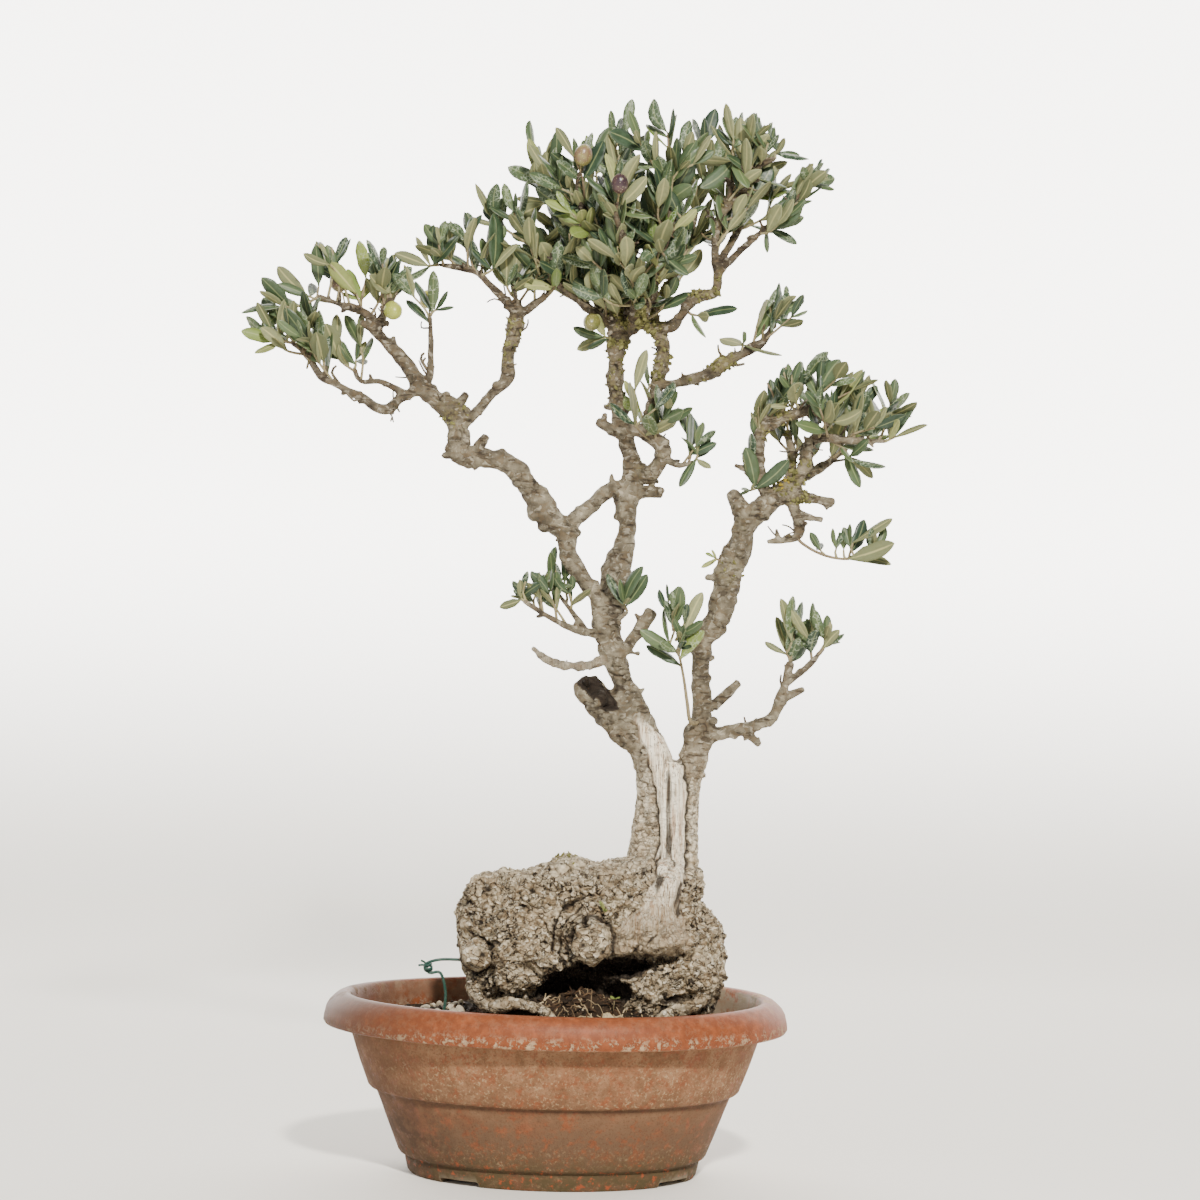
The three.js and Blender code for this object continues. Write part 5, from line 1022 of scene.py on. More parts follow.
def knobs_and_spurs():
    """Swellings and short broken spurs along the limbs, as closed shells."""
    rng = np.random.default_rng(SEEDS["knobs"])
    shells = []
    for name in LIMBS:
        if name.startswith(("root", "fruit", *DEAD_LIMBS)):
            continue
        line, radii = limb_line(name)
        travelled = rng.uniform(2, 8)
        for a, b, radius in zip(line, line[1:], radii):
            travelled -= np.linalg.norm(b - a)
            if travelled > 0 or radius < 1.9 or radius > 12:
                continue
            travelled = rng.uniform(4, 11)
            along = unit(b - a)
            away = unit(np.cross(along, rng.standard_normal(3)))
            if rng.uniform() < 0.5:
                size = radius * rng.uniform(0.45, 0.75)
                spot = a + away * radius * rng.uniform(0.5, 0.8)
                wide = BALL_POINTS * size * rng.uniform(0.8, 1.25, 3)
                shells.append((spot + wide, BALL_FACES))
            else:
                way = unit(away + along * rng.uniform(0.1, 0.9) + (0, 0, 0.25))
                tall = radius + rng.uniform(2.2, 6.5)
                thick = min(radius * 0.7, rng.uniform(1.5, 2.7))
                bend = rng.normal(0, 0.8, 3)
                stub = [a, a + way * tall * 0.6 + bend, a + way * tall + bend * 1.5]
                shells.append(tube(stub, [thick * 1.25, thick, thick * rng.uniform(0.6, 1)], 8))
    return shells


def ellipsoid(x, z, y, wide, high, deep, lean=0):
    """A rounded lump, turned by lean degrees in the front view."""
    c, s = math.cos(math.radians(lean)), math.sin(math.radians(lean))
    turn = np.array([[c, 0, s], [0, 1, 0], [-s, 0, c]])
    angles = around(44)
    rings = []
    for rise in np.linspace(-math.pi / 2, math.pi / 2, 26)[1:-1]:
        ring = np.stack([np.cos(angles) * math.cos(rise), np.sin(angles) * math.cos(rise),
                         np.full(len(angles), math.sin(rise))], axis=1)
        ring *= 1 + 0.05 * np.sin(3 * angles + 5 * rise)[:, None]
        rings.append(place(x, z, y) + ring * (wide, deep, high) @ turn)
    top = np.array([0, 0, high]) @ turn
    return loft(rings, place(x, z, y) - top, place(x, z, y) + top)


def nearest_limb(points):
    """For each point: the gap to the nearest limb, that limb's radius and its number."""
    radius = np.full(len(points), 30.0)
    number = np.full(len(points), -1)
    gap = np.full(len(points), 1e9)
    for index, name in enumerate(LIMBS):
        rows = LIMBS[name]
        for (xa, za, ra, ya), (xb, zb, rb, yb) in zip(rows, rows[1:]):
            a, b = place(xa, za, ya), place(xb, zb, yb)
            near = np.abs(points - (a + b) / 2).max(axis=1) < np.abs(b - a).max() / 2 + ra + rb + 6
            if not near.any():
                continue
            rel = points[near] - a
            share = np.clip(rel @ (b - a) / ((b - a) @ (b - a)), 0, 1)
            off = np.linalg.norm(rel - share[:, None] * (b - a), axis=1)
            r = ra + (rb - ra) * share
            closer = off - r < gap[near]
            where = np.flatnonzero(near)[closer]
            gap[where] = (off - r)[closer]
            radius[where], number[where] = r[closer], index
    return gap, radius, number


def wood_mesh():
    """All wood as one closed surface, before its relief."""
    fat = [raw_mesh(*burl_shell()), raw_mesh(*trunk_shell())]
    caves = [raw_mesh(*ellipsoid(*cave)) for cave in CAVES]
    meshes = [cut_by(obj, caves) for obj in fat]
    trough = smooth_line(TROUGH, 3)
    groove = raw_mesh(*tube([place(x, z, y) for x, z, y, _ in trough], trough[:, 3], 20))
    for name in ("stump", "stemLeft"):
        line, radii = limb_line(name)
        meshes.append(cut_by(raw_mesh(*tube(line, radii, 20)), [groove]))
    for cutter in (*caves, groove):
        bpy.data.objects.remove(cutter)
    whole = bmesh.new()
    for mesh in meshes:
        whole.from_mesh(mesh)
        bpy.data.meshes.remove(mesh)
    shells = [tube(*limb_line(name), 16) for name in LIMBS if name not in ("stump", "stemLeft")]
    shells += [ellipsoid(*lump) for lump in BURL_LUMPS]
    for verts, faces in shells + knobs_and_spurs():
        made = [whole.verts.new(v * MM) for v in verts]
        for face in faces:
            whole.faces.new([made[i] for i in face])
    mesh = bpy.data.meshes.new("wood_fine")
    whole.to_mesh(mesh)
    whole.free()
    obj = in_scene("wood_fine", mesh)
    remesh = obj.modifiers.new("voxels", "REMESH")
    remesh.mode = "VOXEL"
    remesh.voxel_size = WOOD_VOXEL * MM
    relax = obj.modifiers.new("relax", "SMOOTH")
    relax.factor = 0.5
    relax.iterations = 5
    return baked(obj)


# The strip of bare dead wood: height, then its left and right edge.
DEAD_STRIP = [[157, 40, 97], [168, 41, 96], [175, 43, 94.5], [181, 47, 92], [188, 54, 89.5],
    [195, 62, 88.5], [216, 69, 93], [250, 71.5, 93.5], [280, 67, 93], [300, 63, 87], [318, 56, 71],
    [330, 51, 59]]
# Limbs that are bare and dead as a whole.
DEAD_LIMBS = ("jin",)
# Where lichen grows: across, height, reach and strength.
LICHEN_SPOTS = [[45, 610, 34, 1], [50, 650, 40, 0.8], [100, 640, 22, 0.8], [105, 582, 26, 0.9],
    [60, 590, 24, 0.8], [36, 570, 26, 0.5], [165, 505, 26, 0.8], [150, 545, 20, 0.7],
    [105, 690, 26, 0.5], [-43, 600, 26, 0.6], [-84, 548, 18, 0.5], [10, 640, 22, 0.6],
    [120, 440, 16, 0.4], [5, 229, 14, 0.5], [60, 510, 18, 0.35], [130, 470, 18, 0.4]]


def dress_wood(mesh):
    """Raises the bark's relief and marks it; gives back corners, normals and lichen."""
    p = corner_rows(mesh, "co") / MM
    n = corner_rows(mesh, "normal")
    vx, vz = in_view(p)
    # how far each corner belongs to the burl, the trunk or a root, and how thick it is there
    apart, radius, number = nearest_limb(p)
    z = p[:, 2]
    burl = smoothstep(236, 214, z + 5 * noise(p, 14, 5))
    trunk = smoothstep(206, 226, z) * smoothstep(316, 296, z)
    root_numbers = [list(LIMBS).index(k) for k in ("rootLeft", "rootRight", "rootBack")]
    root = np.isin(number, root_numbers) * smoothstep(1.6, 0.2, apart) * smoothstep(140, 132, z)
    burl *= 1 - 0.8 * root
    radius = np.where((burl > 0.5) & (root < 0.5), 45.0, radius)
    radius = np.where(trunk > 0.5, 22.0, radius)
    fat = np.clip(radius / 9, 0.14, 1)

    # bare dead wood: the strip down the trunk, and the dead limb
    heights, lefts, rights = zip(*DEAD_STRIP)
    left, right = np.interp(vz, heights, lefts), np.interp(vz, heights, rights)
    ragged = 2.2 * noise(p, 9, 31) + 1.2 * noise(p, 4, 32)
    inside = np.minimum(vx - left, right - vx) + ragged
    front = smoothstep(6, -4, p[:, 1] - np.where(z > 296, 2, 0))
    strip = smoothstep(-1.0, 1.4, inside) * front * smoothstep(156, 162, vz) \
        * smoothstep(334, 322, vz)
    dead_numbers = [list(LIMBS).index(k) for k in DEAD_LIMBS]
    bare_limb = np.isin(number, dead_numbers) & (z > 318)
    dead = np.maximum(strip, bare_limb * smoothstep(-0.6, 0.2, noise(p, 16, 33) + 0.35))

    warp = np.stack([noise(p, 9, k) + 0.55 * noise(p, 3.6, k + 3) for k in (41, 42, 43)], axis=1)
    tall = p * np.where(trunk > 0.5, 0.6, 1.35)[:, None] ** np.array([0, 0, 1])
    # flaking plates on the burl and trunk, each tilted its own way
    f1, f2, tone, off = cells(tall + 4.4 * warp, 6.4, 51)
    tilt = (off * np.stack([np.sin(tone * 40), np.cos(tone * 57), np.sin(tone * 23)],
                           axis=1)).sum(axis=1)
    open_crack = smoothstep(-0.35, 0.45, noise(p, 11, 52))
    gap = smoothstep(0.14, 0.02, f2 - f1) * (0.35 + 0.65 * open_crack)
    g1, g2, fine_tone, fine_off = cells(tall + 2.8 * warp, 3.3, 61)
    fine_tilt = (fine_off * np.stack([np.cos(fine_tone * 51), np.sin(fine_tone * 37),
                                      np.cos(fine_tone * 29)], axis=1)).sum(axis=1)
    fine_gap = smoothstep(0.14, 0.0, g2 - g1)
    knob = np.hypot(vx - 26, (vz - 167) * 0.85)
    facing = smoothstep(-20, -34, p[:, 1])
    left_knob = np.hypot(vx + 60, vz - 156) - 0.6 * noise(p, 5, 94)
    smooth_knob = np.maximum(smoothstep(16, 13, knob) * facing, smoothstep(13, 11, left_knob))
    plates = 1.0 * (tone - 0.5) + 2.5 * tilt - 1.3 * gap - 0.2 * fine_gap
    plates += 0.15 * (fine_tone - 0.5) + 0.25 * fine_tilt + 0.1 * noise(p, 2.2, 78)
    plates *= 1 - 0.8 * smooth_knob
    broad = 2.2 * noise(p, 27, 71) + 2.4 * noise(p, 13, 72) + 1.3 * noise(p, 7, 77)
    burl_height = broad * 0.9 + plates
    trunk_height = 1.1 * noise(p, 17, 73) + 0.45 * plates
    knots = 1.5 * noise(p, 12, 74) + 0.8 * noise(p, 6, 75) + 0.25 * noise(p, 3, 76)
    folded = noise(p * (0.3, 0.3, 1.0) + 2.0 * warp, 4.2, 79)
    wrinkle = np.exp(-(folded / 0.10) ** 2) * smoothstep(-0.15, 0.35, noise(p, 19, 80))
    limb_height = fat * (1.7 * knots - 0.1 * gap - 1.1 * wrinkle)
    trunk_height -= 0.5 * wrinkle
    rise = limb_height * (1 - np.maximum(burl, trunk)) + burl_height * burl \
        + trunk_height * trunk * (1 - burl)
    # dead wood: long grain and flutes that run down and spread to the left
    slant = np.interp(vz, [158, 175, 190, 220, 330], [34, 18, 7, 0, 4])
    grain_at = np.stack([p[:, 0] + slant, p[:, 1] * 0.5, p[:, 2] * 0.07], axis=1)
    grain = 1.9 * noise(grain_at, 5.0, 81) + 0.9 * noise(grain_at, 2.6, 82) \
        + 0.35 * noise(grain_at, 1.4, 83)
    crest = np.clip(inside / 9, 0, 1)
    worn = smoothstep(182, 170, vz) * strip
    dead_height = grain + 2.2 * crest - 0.6 + worn * (1.2 * noise(p, 5, 84) + 0.7 * plates)
    twisted = 0.7 + 1.3 * noise(p, 6, 86) + 0.6 * noise(p, 2.6, 87)
    rise = rise * (1 - dead) + np.where(bare_limb & (strip < 0.5), twisted, dead_height) * dead
    # the bark swells to a lip along both sides of the strip, with a crease between
    lip = np.exp(-((inside + 3.4) / 2.4) ** 2) * front * trunk
    crease = np.exp(-(inside / 1.1) ** 2) * front * smoothstep(170, 190, vz) * trunk
    rise += 1.6 * lip - 1.8 * crease
    # folds that follow the big knob down its left side, and eyes with a raised ring
    wander = 2.0 * noise(p, 12, 91) + 0.7 * noise(p, 5, 92)
    ring = np.zeros(len(p))
    for reach, depth, low, high in ((16.5, 2.4, 150, 186), (20.0, 1.9, 146, 196),
                                    (24.0, 1.7, 148, 202), (29.5, 2.2, 158, 206)):
        fold = np.exp(-((knob + wander - reach) / 1.1) ** 2) * facing * burl
        fold *= smoothstep(24, 14, vx) * smoothstep(low - 6, low + 4, vz) \
            * smoothstep(high + 6, high - 6, vz)
        rise -= depth * fold
        ring = np.maximum(ring, fold)
    for away, reach in ((knob, 16.8), (left_knob, 13.2)):
        edge = np.exp(-((away + 0.4 * wander - reach) / 1.5) ** 2) * facing * burl
        rise += 1.5 * smoothstep(reach - 2, reach - 9, away) * facing * burl - 2.0 * edge
        ring = np.maximum(ring, edge)
    pits = np.zeros(len(p))
    front_face = smoothstep(-8, -18, p[:, 1])
    for ex, ez, size in EYES:
        away = np.hypot(vx - ex + 0.5 * noise(p, 4, 93), vz - ez)
        pit = front_face * burl * np.exp(-(away / size) ** 2)
        halo = front_face * burl * np.exp(-((away - 2.3 * size) / (0.6 * size)) ** 2)
        pits = np.maximum(pits, pit)
        rise += 0.5 * size * halo - 0.85 * size * pit
    p = p + n * rise[:, None]

    lichen = np.zeros(len(p))
    for lx, lz, reach, strength in LICHEN_SPOTS:
        away = np.hypot(vx - lx, vz - lz)
        lichen = np.maximum(lichen, strength * smoothstep(reach, reach * 0.45, away))
    lichen *= smoothstep(-0.55, 0.25, noise(p, 7, 95) + 0.4 * n[:, 2])
    lichen *= 1 - dead
    # dark marks in cracks, folds, pits and grooves; the marks in sunk plates, low valleys and along
    # the folds and rings round the knobs are painted shade
    sunk_plate_shade = smoothstep(-0.9, -2.4, plates) * np.maximum(burl, trunk)
    valley_shade = smoothstep(-1.2, -3.2, broad) * burl
    crack = np.maximum(1.15 * gap * np.maximum(burl, 0.6 * trunk),
                       (0.08 + 0.26 * burl * open_crack) * fine_gap)
    crack *= 1 - 0.7 * smooth_knob
    crack *= 1 - 0.35 * trunk * (1 - burl)
    crack = np.maximum(crack, np.maximum(0.25 * sunk_plate_shade, 0.3 * valley_shade))
    crack = np.maximum(crack * (1 - dead), np.maximum(0.9 * crease, pits))
    # painted shade along the folds and round the edges of the knobs
    crack = np.maximum(crack, ring * 0.9)
    crack = np.maximum(crack, 0.7 * wrinkle * (1 - burl) * (1 - dead))
    grooves = smoothstep(-0.2, -0.75, grain / 1.6) * strip
    crack = np.maximum(crack, 0.85 * grooves)
    crack = np.maximum(crack, 0.55 * worn * smoothstep(0.2, -0.7, noise(p, 4, 85)))
    # shade inside the hollow under the burl and in the stump's trough
    hollow = smoothstep(36, 28, np.hypot((vx - 38) / 1.7, (z - 130) * 1.1)) \
        * smoothstep(-46, -38, p[:, 1]) * smoothstep(20, 5, p[:, 1])
    scooped = np.zeros(len(p))
    for x, height, y, reach in smooth_line(TROUGH, 2):
        away = np.linalg.norm(p - place(x, height, y), axis=1) - reach + 0.7 * noise(p, 3, 97)
        scooped = np.maximum(scooped, smoothstep(1.8, 0.8, away))
    scooped = np.where(bare_limb, 0, scooped)
    crack = np.maximum(crack, np.maximum(hollow, 0.93 * scooped))
    all_tone = np.where(np.maximum(burl, trunk) > 0.5, 0.6 * tone + 0.4 * fine_tone,
                        0.5 + 0.35 * noise(p, 8, 96) + 0.25 * noise(p, 3.5, 97))
    mesh.vertices.foreach_set("co", (p * MM).ravel())
    bare = dead * (1 - 0.45 * worn) * np.where(bare_limb & (strip < 0.5), 0.14, 1)
    write_marks(mesh, np.stack([bare, lichen, np.clip(crack, 0, 1), np.clip(all_tone, 0, 1)],
                               axis=1))
    mesh.update()
    return p, n, lichen


def loose_bits(mesh, fewest):
    """The corners of a mesh's islands that have fewer than fewest corners."""
    ends = np.empty(len(mesh.edges) * 2, np.int64)
    mesh.edges.foreach_get("vertices", ends)
    a, b = ends.reshape(-1, 2).T
    label = np.arange(len(mesh.vertices))
    while True:
        low = np.minimum(label[a], label[b])
        merged = label.copy()
        np.minimum.at(merged, label[a], low)
        np.minimum.at(merged, label[b], low)
        merged = merged[merged]
        if (merged == label).all():
            break
        label = merged
    sizes = np.bincount(label, minlength=len(label))
    return np.flatnonzero(sizes[label] < fewest)


def wood_pieces():
    """Cuts the wood into closed pieces, each within the limit of triangles."""
    mesh = wood_mesh()
    points, normals, lichen = dress_wood(mesh)
    material = bark_material()
    for name, low, high in zip(THINNED, [None, *WOOD_CUTS], [*WOOD_CUTS, None]):
        part = bmesh.new()
        part.from_mesh(mesh)
        for height, keep_above in ((low, True), (high, False)):
            if height is None:
                continue
            found = bmesh.ops.bisect_plane(
                part, geom=part.verts[:] + part.edges[:] + part.faces[:],
                plane_co=(0, 0, height * MM), plane_no=(0, 0, 1),
                clear_inner=keep_above, clear_outer=not keep_above)
            rim = [e for e in found["geom_cut"] if isinstance(e, bmesh.types.BMEdge)]
            for edge in rim:
                edge.smooth = False
            bmesh.ops.holes_fill(part, edges=rim, sides=0)
        piece = bpy.data.meshes.new(name)
        part.to_mesh(piece)
        part.verts.ensure_lookup_table()
        crumbs = [part.verts[i] for i in loose_bits(piece, CRUMB)]
        bmesh.ops.delete(part, geom=crumbs, context="VERTS")
        part.to_mesh(piece)
        part.free()
        piece.materials.clear()
        piece.materials.append(material)
        whole = in_scene(name, piece)
        fewer = whole.modifiers.new("fewer", "DECIMATE")
        fewer.ratio = THINNED[name]
        piece = baked(whole)
        shade(piece)
        settle(name, piece, ["wood"])
    bpy.data.meshes.remove(mesh)
    return points, normals, lichen


# ---- the soil -------------------------------------------------------------------
def to_rim(x, y):
    """How far out a spot on the soil lies: 0 in the middle, 1 at the pot's wall."""
    return np.hypot(x / SOIL_WIDE, y / SOIL_DEEP)


def soil_height(x, y):
    """The even ground: a low mound, and a heap in front of the burl."""
    edge = to_rim(x, y)
    mound = 14 * np.maximum(0, 1 - (edge / 0.9) ** 2)
    heap = 17 * np.exp(-(((x - 20) / 46) ** 2) - ((y + 41) / 15) ** 2)
    return SOIL_EDGE + mound + heap + 1.3 * np.sin(x * 0.19 + 0.5) * np.sin(y * 0.23 + 1.1)


def rough_height(x, y):
    """The ground with its lumps."""
    p = np.stack([x, y, np.zeros_like(x)], axis=-1).reshape(-1, 3)
    lumps = 1.5 * noise(p, 11, 201) + 1.0 * noise(p, 5, 202) + 0.7 * noise(p, 2.4, 203)
    return soil_height(x, y) + lumps.reshape(np.shape(x))


def height_at(surface, x, y):
    """One of these two heights at one spot."""
    return float(surface(np.array([x]), np.array([y]))[0])


def soil_piece():
    angles = around(280)
    below = ((93, SOIL_BOTTOM), (107.5, 18), (121.5, 52), (133, 78), (144.6, 101))
    rings = [oval(half, height, angles) for half, height in below]
    for half in np.linspace(144.9, 3, 80):
        ring = oval(half, 0, angles)
        ring[:, 2] = rough_height(ring[:, 0], ring[:, 1])
        rings.append(ring)
    shell = Shell()
    shell.add(*loft(rings, (0, 0, SOIL_BOTTOM), (0, 0, height_at(rough_height, 0.0, 0.0))))
    shell.build("soil_heap", [soil_material()], "soil", ["soil"])


def lump(rng, size, rough=0.22):
    """A small stone or crumb: an icosahedron pushed out of shape."""
    points = ICO_POINTS * (1 + rough * rng.standard_normal((len(ICO_POINTS), 1)))
    points = points * size * np.array([1.15, 0.95, 0.7]) * rng.uniform(0.8, 1.25, 3)
    return points @ spin(rng).T


def spin(rng):
    """A random turn."""
    q, _ = np.linalg.qr(rng.standard_normal((3, 3)))
    if np.linalg.det(q) < 0:
        q[:, 0] = -q[:, 0]
    return q


def lay_flat(rng):
    """A turn for a thing that lies nearly flat."""
    turn, lean, roll = rng.uniform(0, 6.28), rng.normal(0, 0.25), rng.normal(0, 0.25)
    c, s = math.cos(turn), math.sin(turn)
    level = np.array([[c, -s, 0], [s, c, 0], [0, 0, 1]])
    return level @ np.array([[1, 0, lean], [0, 1, roll], [-lean, -roll, 1]])


def litter_spot(rng, reach=0.94):
    """A random spot on the soil, within reach of its middle."""
    while True:
        x, y = rng.uniform(-140, 140), rng.uniform(-104, 104)
        if to_rim(x, y) < reach:
            return x, y


def lay_crumbs(shell, rng):
    for _ in range(1500):
        x, y = litter_spot(rng)
        z = height_at(rough_height, x, y)
        size = rng.uniform(0.6, 1.9)
        shell.add(lump(rng, size) + (x, y, z + size * 0.25), ICO_FACES, 0,
                  (0, 0, 0, rng.uniform()))


def lay_pebbles(shell, rng):
    """Pale pebbles; the larger ones lie at the left end."""
    for index in range(90):
        at_left = index < 46
        x, y = (rng.uniform(-122, -62), rng.uniform(-62, 30)) if at_left \
            else litter_spot(rng, 0.9)
        if to_rim(x, y) > 0.93:
            continue
        z = height_at(soil_height, x, y)
        size = rng.uniform(1.6, 4.4) if at_left else rng.uniform(1.0, 2.2)
        points = BALL_POINTS + 0.13 * np.stack(
            [noise(BALL_POINTS * 9 + index * 31, 9, k) for k in (1, 2, 3)], axis=1)
        points = points * size * rng.uniform(0.7, 1.3, 3)
        shell.add(points @ spin(rng).T + (x, y, z + size * 0.35), BALL_FACES, 0,
                  (1, 0, 0, rng.uniform()))


def lay_chips(shell, rng):
    """Bark chips and dry scraps of leaf; many lie in front of the burl."""
    for index in range(300):
        x, y = litter_spot(rng, 0.9)
        if index < 170:
            x, y = 34 + 34 * rng.standard_normal(), -52 + 16 * rng.standard_normal()
        if to_rim(x, y) > 0.92:
            continue
        z = height_at(rough_height, x, y)
        points, faces = (BALL_POINTS, BALL_FACES) if index % 4 == 0 else (ICO_POINTS, ICO_FACES)
        size = np.array([rng.uniform(1.6, 5.0), rng.uniform(1.0, 2.4), rng.uniform(0.3, 0.6)])
        tilt = spin(rng) if index % 3 == 0 else lay_flat(rng)
        shell.add((points * size) @ tilt.T + (x, y, z + 0.9), faces, 0,
                  (0, 0, 1, rng.uniform()))


def lay_straw(shell, rng):
    """Straw and fine roots, thickest in the hollow in front."""
    steps = np.linspace(-1, 1, 8)
    for index in range(150):
        front = index < 84
        x = 34 + 27 * rng.standard_normal() if front else rng.uniform(-120, 120)
        y = -50 + 15 * rng.standard_normal() if front else rng.uniform(-84, 60)
        if to_rim(x, y) > 0.86:
            continue
        turn = rng.uniform(0, 2 * math.pi)
        reach = rng.uniform(4, 13)
        curl = rng.uniform(-0.35, 0.35)
        phase = rng.uniform(0, 6)
        px = x + reach * steps * math.cos(turn) - reach * curl * steps ** 2 * math.sin(turn)
        py = y + reach * steps * math.sin(turn) + reach * curl * steps ** 2 * math.cos(turn)
        if (to_rim(px, py) >= 0.93).any():
            continue
        pz = rough_height(px, py) + 0.4 + rng.uniform(-0.8, 1.4) * steps \
            + 0.7 * np.sin(steps * 7 + phase)
        radius = rng.uniform(0.3, 0.85)
        line = np.stack([px, py, pz], axis=1)
        shell.add(*tube(line, radius * (1 - 0.45 * np.abs(steps)), 5), 0,
                  (0, 1, 0, rng.uniform() ** 1.6))


def lay_forked_root(shell, rng):
    """A pale root that fans out in front of the hollow."""
    steps = np.linspace(0, 1, 9)
    for index in range(11):
        turn = rng.uniform(-2.9, -0.2)
        reach = rng.uniform(10, 27)
        px = 37 + reach * steps * math.cos(turn) + 1.6 * np.sin(steps * 5 + index)
        py = -60 + 0.8 * reach * steps * math.sin(turn) + 1.2 * np.cos(steps * 4 + index)
        if (to_rim(px, py) > 0.93).any():
            continue
        pz = rough_height(px, py) + 4.6 * (1 - steps) + 0.5
        line = np.stack([px, py, pz], axis=1)
        shell.add(*tube(line, 1.15 - 0.8 * steps, 6), 0, (0, 1, 0, rng.uniform(0.75, 1)))


def litter_piece():
    rng = np.random.default_rng(SEEDS["litter"])
    shell = Shell()
    for lay in (lay_crumbs, lay_pebbles, lay_chips, lay_straw, lay_forked_root):
        lay(shell, rng)
    shell.build("soil_litter", [litter_material()], "soil")


# ---- leafy shoots: the same seeded rule as the solids -------------------------------
def on_limb(name, share):
    """The point at a share of the way along a limb."""
    points = LIMBS.get(name) or SHOOT_LINES[name]
    step = min(share, 0.999) * (len(points) - 1)
    index = int(step)
    rest = step - index
    x, z, _, y = [a + (b - a) * rest for a, b in zip(points[index], points[index + 1])]
    return place(x, z, y)


SEGMENTS = [(place(a[0], a[1], a[3]), place(b[0], b[1], b[3]), a[2], b[2])
            for rows in LIMBS.values() for a, b in zip(rows, rows[1:])]
SEG_A = np.array([s[0] for s in SEGMENTS])
SEG_AB = np.array([s[1] - s[0] for s in SEGMENTS])
SEG_R = np.array([s[2:] for s in SEGMENTS], float)


def bark_gap(point):
    """How far a point stands off the nearest bark; less than 0 is inside."""
    away = point - SEG_A
    share = np.clip((away * SEG_AB).sum(axis=1) / (SEG_AB ** 2).sum(axis=1), 0, 1)
    off = np.linalg.norm(away - share[:, None] * SEG_AB, axis=1)
    return (off - SEG_R[:, 0] - (SEG_R[:, 1] - SEG_R[:, 0]) * share).min()


LIGHT = unit(np.array([0.42, -0.72, 0.55]))


def leaf_face(heading, random):
    """The way a leaf's upper face looks: mostly to the light."""
    face = LIGHT * (0.9 if random() < 0.72 else -0.9)
    face = face + np.array([(random() - 0.5) * 1.5 for _ in range(3)])
    return unit(face - heading * face.dot(heading))


def stem_plan(start, tip_point, seed):
    """A stem from start, and the leaf at its end, whose tip is given."""
    random = seeded(seed)
    tip = place(*tip_point[:3])
    reach = tip - start
    room = np.linalg.norm(reach)
    wanted = tip_point[3] if len(tip_point) > 3 else 25 + 9 * random()
    bark = max(0, -bark_gap(start))
    length = max(min(wanted, room * 0.85, room - bark - 4), room * 0.4)
    lean = np.array([random() - 0.5, random() - 0.5, random() - 0.3])
    heading = unit(reach / room + lean * 0.4)
    foot = tip - heading * length
    bow = np.array([random() - 0.5, random() - 0.5, random() - 0.5])
    middle = (start + foot) / 2 + bow * np.linalg.norm(start - foot) * 0.2
    return {"middle": middle, "foot": foot, "heading": heading, "length": length, "tip": tip}


def nudged(plan, amount, random):
    """The same leaf with its tip moved a little."""
    shift = np.array([random() - 0.5, random() - 0.5, random() - 0.5])
    tip = plan["tip"] + shift * amount
    reach = tip - plan["foot"]
    length = np.linalg.norm(reach)
    return {**plan, "tip": tip, "heading": reach / length, "length": length}


def solid_leaf(corners, wanted, seed):
    """The try whose tip is a corner of the CAD solid, so that the fine blade lies in it."""
    best = None
    for attempt in range(20):
        random = seeded(seed + attempt)
        plan = wanted if attempt < 7 else nudged(wanted, 2 * (attempt - 5), random)
        face = leaf_face(plan["heading"], random)
        bend = 0.02 + 0.09 * random()
        tip = plan["tip"] - face * bend * plan["length"]
        miss = np.linalg.norm(corners - tip, axis=1).min()
        if best is None or miss < best[0]:
            best = (miss, plan, face, bend)
    return best[0] < 0.12, *best[1:]


def point_on(line, share):
    """The point at a share of the way along a line of points."""
    step = share * (len(line) - 1)
    index = min(int(math.floor(step)), len(line) - 2)
    return line[index] + (line[index + 1] - line[index]) * (step - index)


def leaf_root(line, tip, used):
    """The share and point of a stem from which a leaf with this tip grows best."""
    best, cost = None, 1e9
    for k in range(2, 25):
        share = k / 24
        point = point_on(line, share)
        if bark_gap(point) < 1:
            continue
        ahead = point_on(line, min(share + 0.04, 1)) - point_on(line, share - 0.04)
        reach = tip - point
        far = np.linalg.norm(reach)
        forward = reach.dot(ahead) / (far * np.linalg.norm(ahead))
        crowd = 8 if any(abs(other - share) < 0.03 for other in used) else 0
        value = abs(far - LEAF_REACH) + 14 * (1 - forward) + crowd
        if value < cost:
            cost, best = value, (share, point)
    return best


# Half widths of a blade along its length, from the stalk to the tip.
BLADE = [[0, 0.11], [0.07, 0.14], [0.18, 0.50], [0.36, 0.88], [0.56, 1.0], [0.74, 0.93],
    [0.88, 0.66], [0.965, 0.32], [1.0, 0.06]]
ACROSS = [-1, -0.5, 0, 0.5, 1]


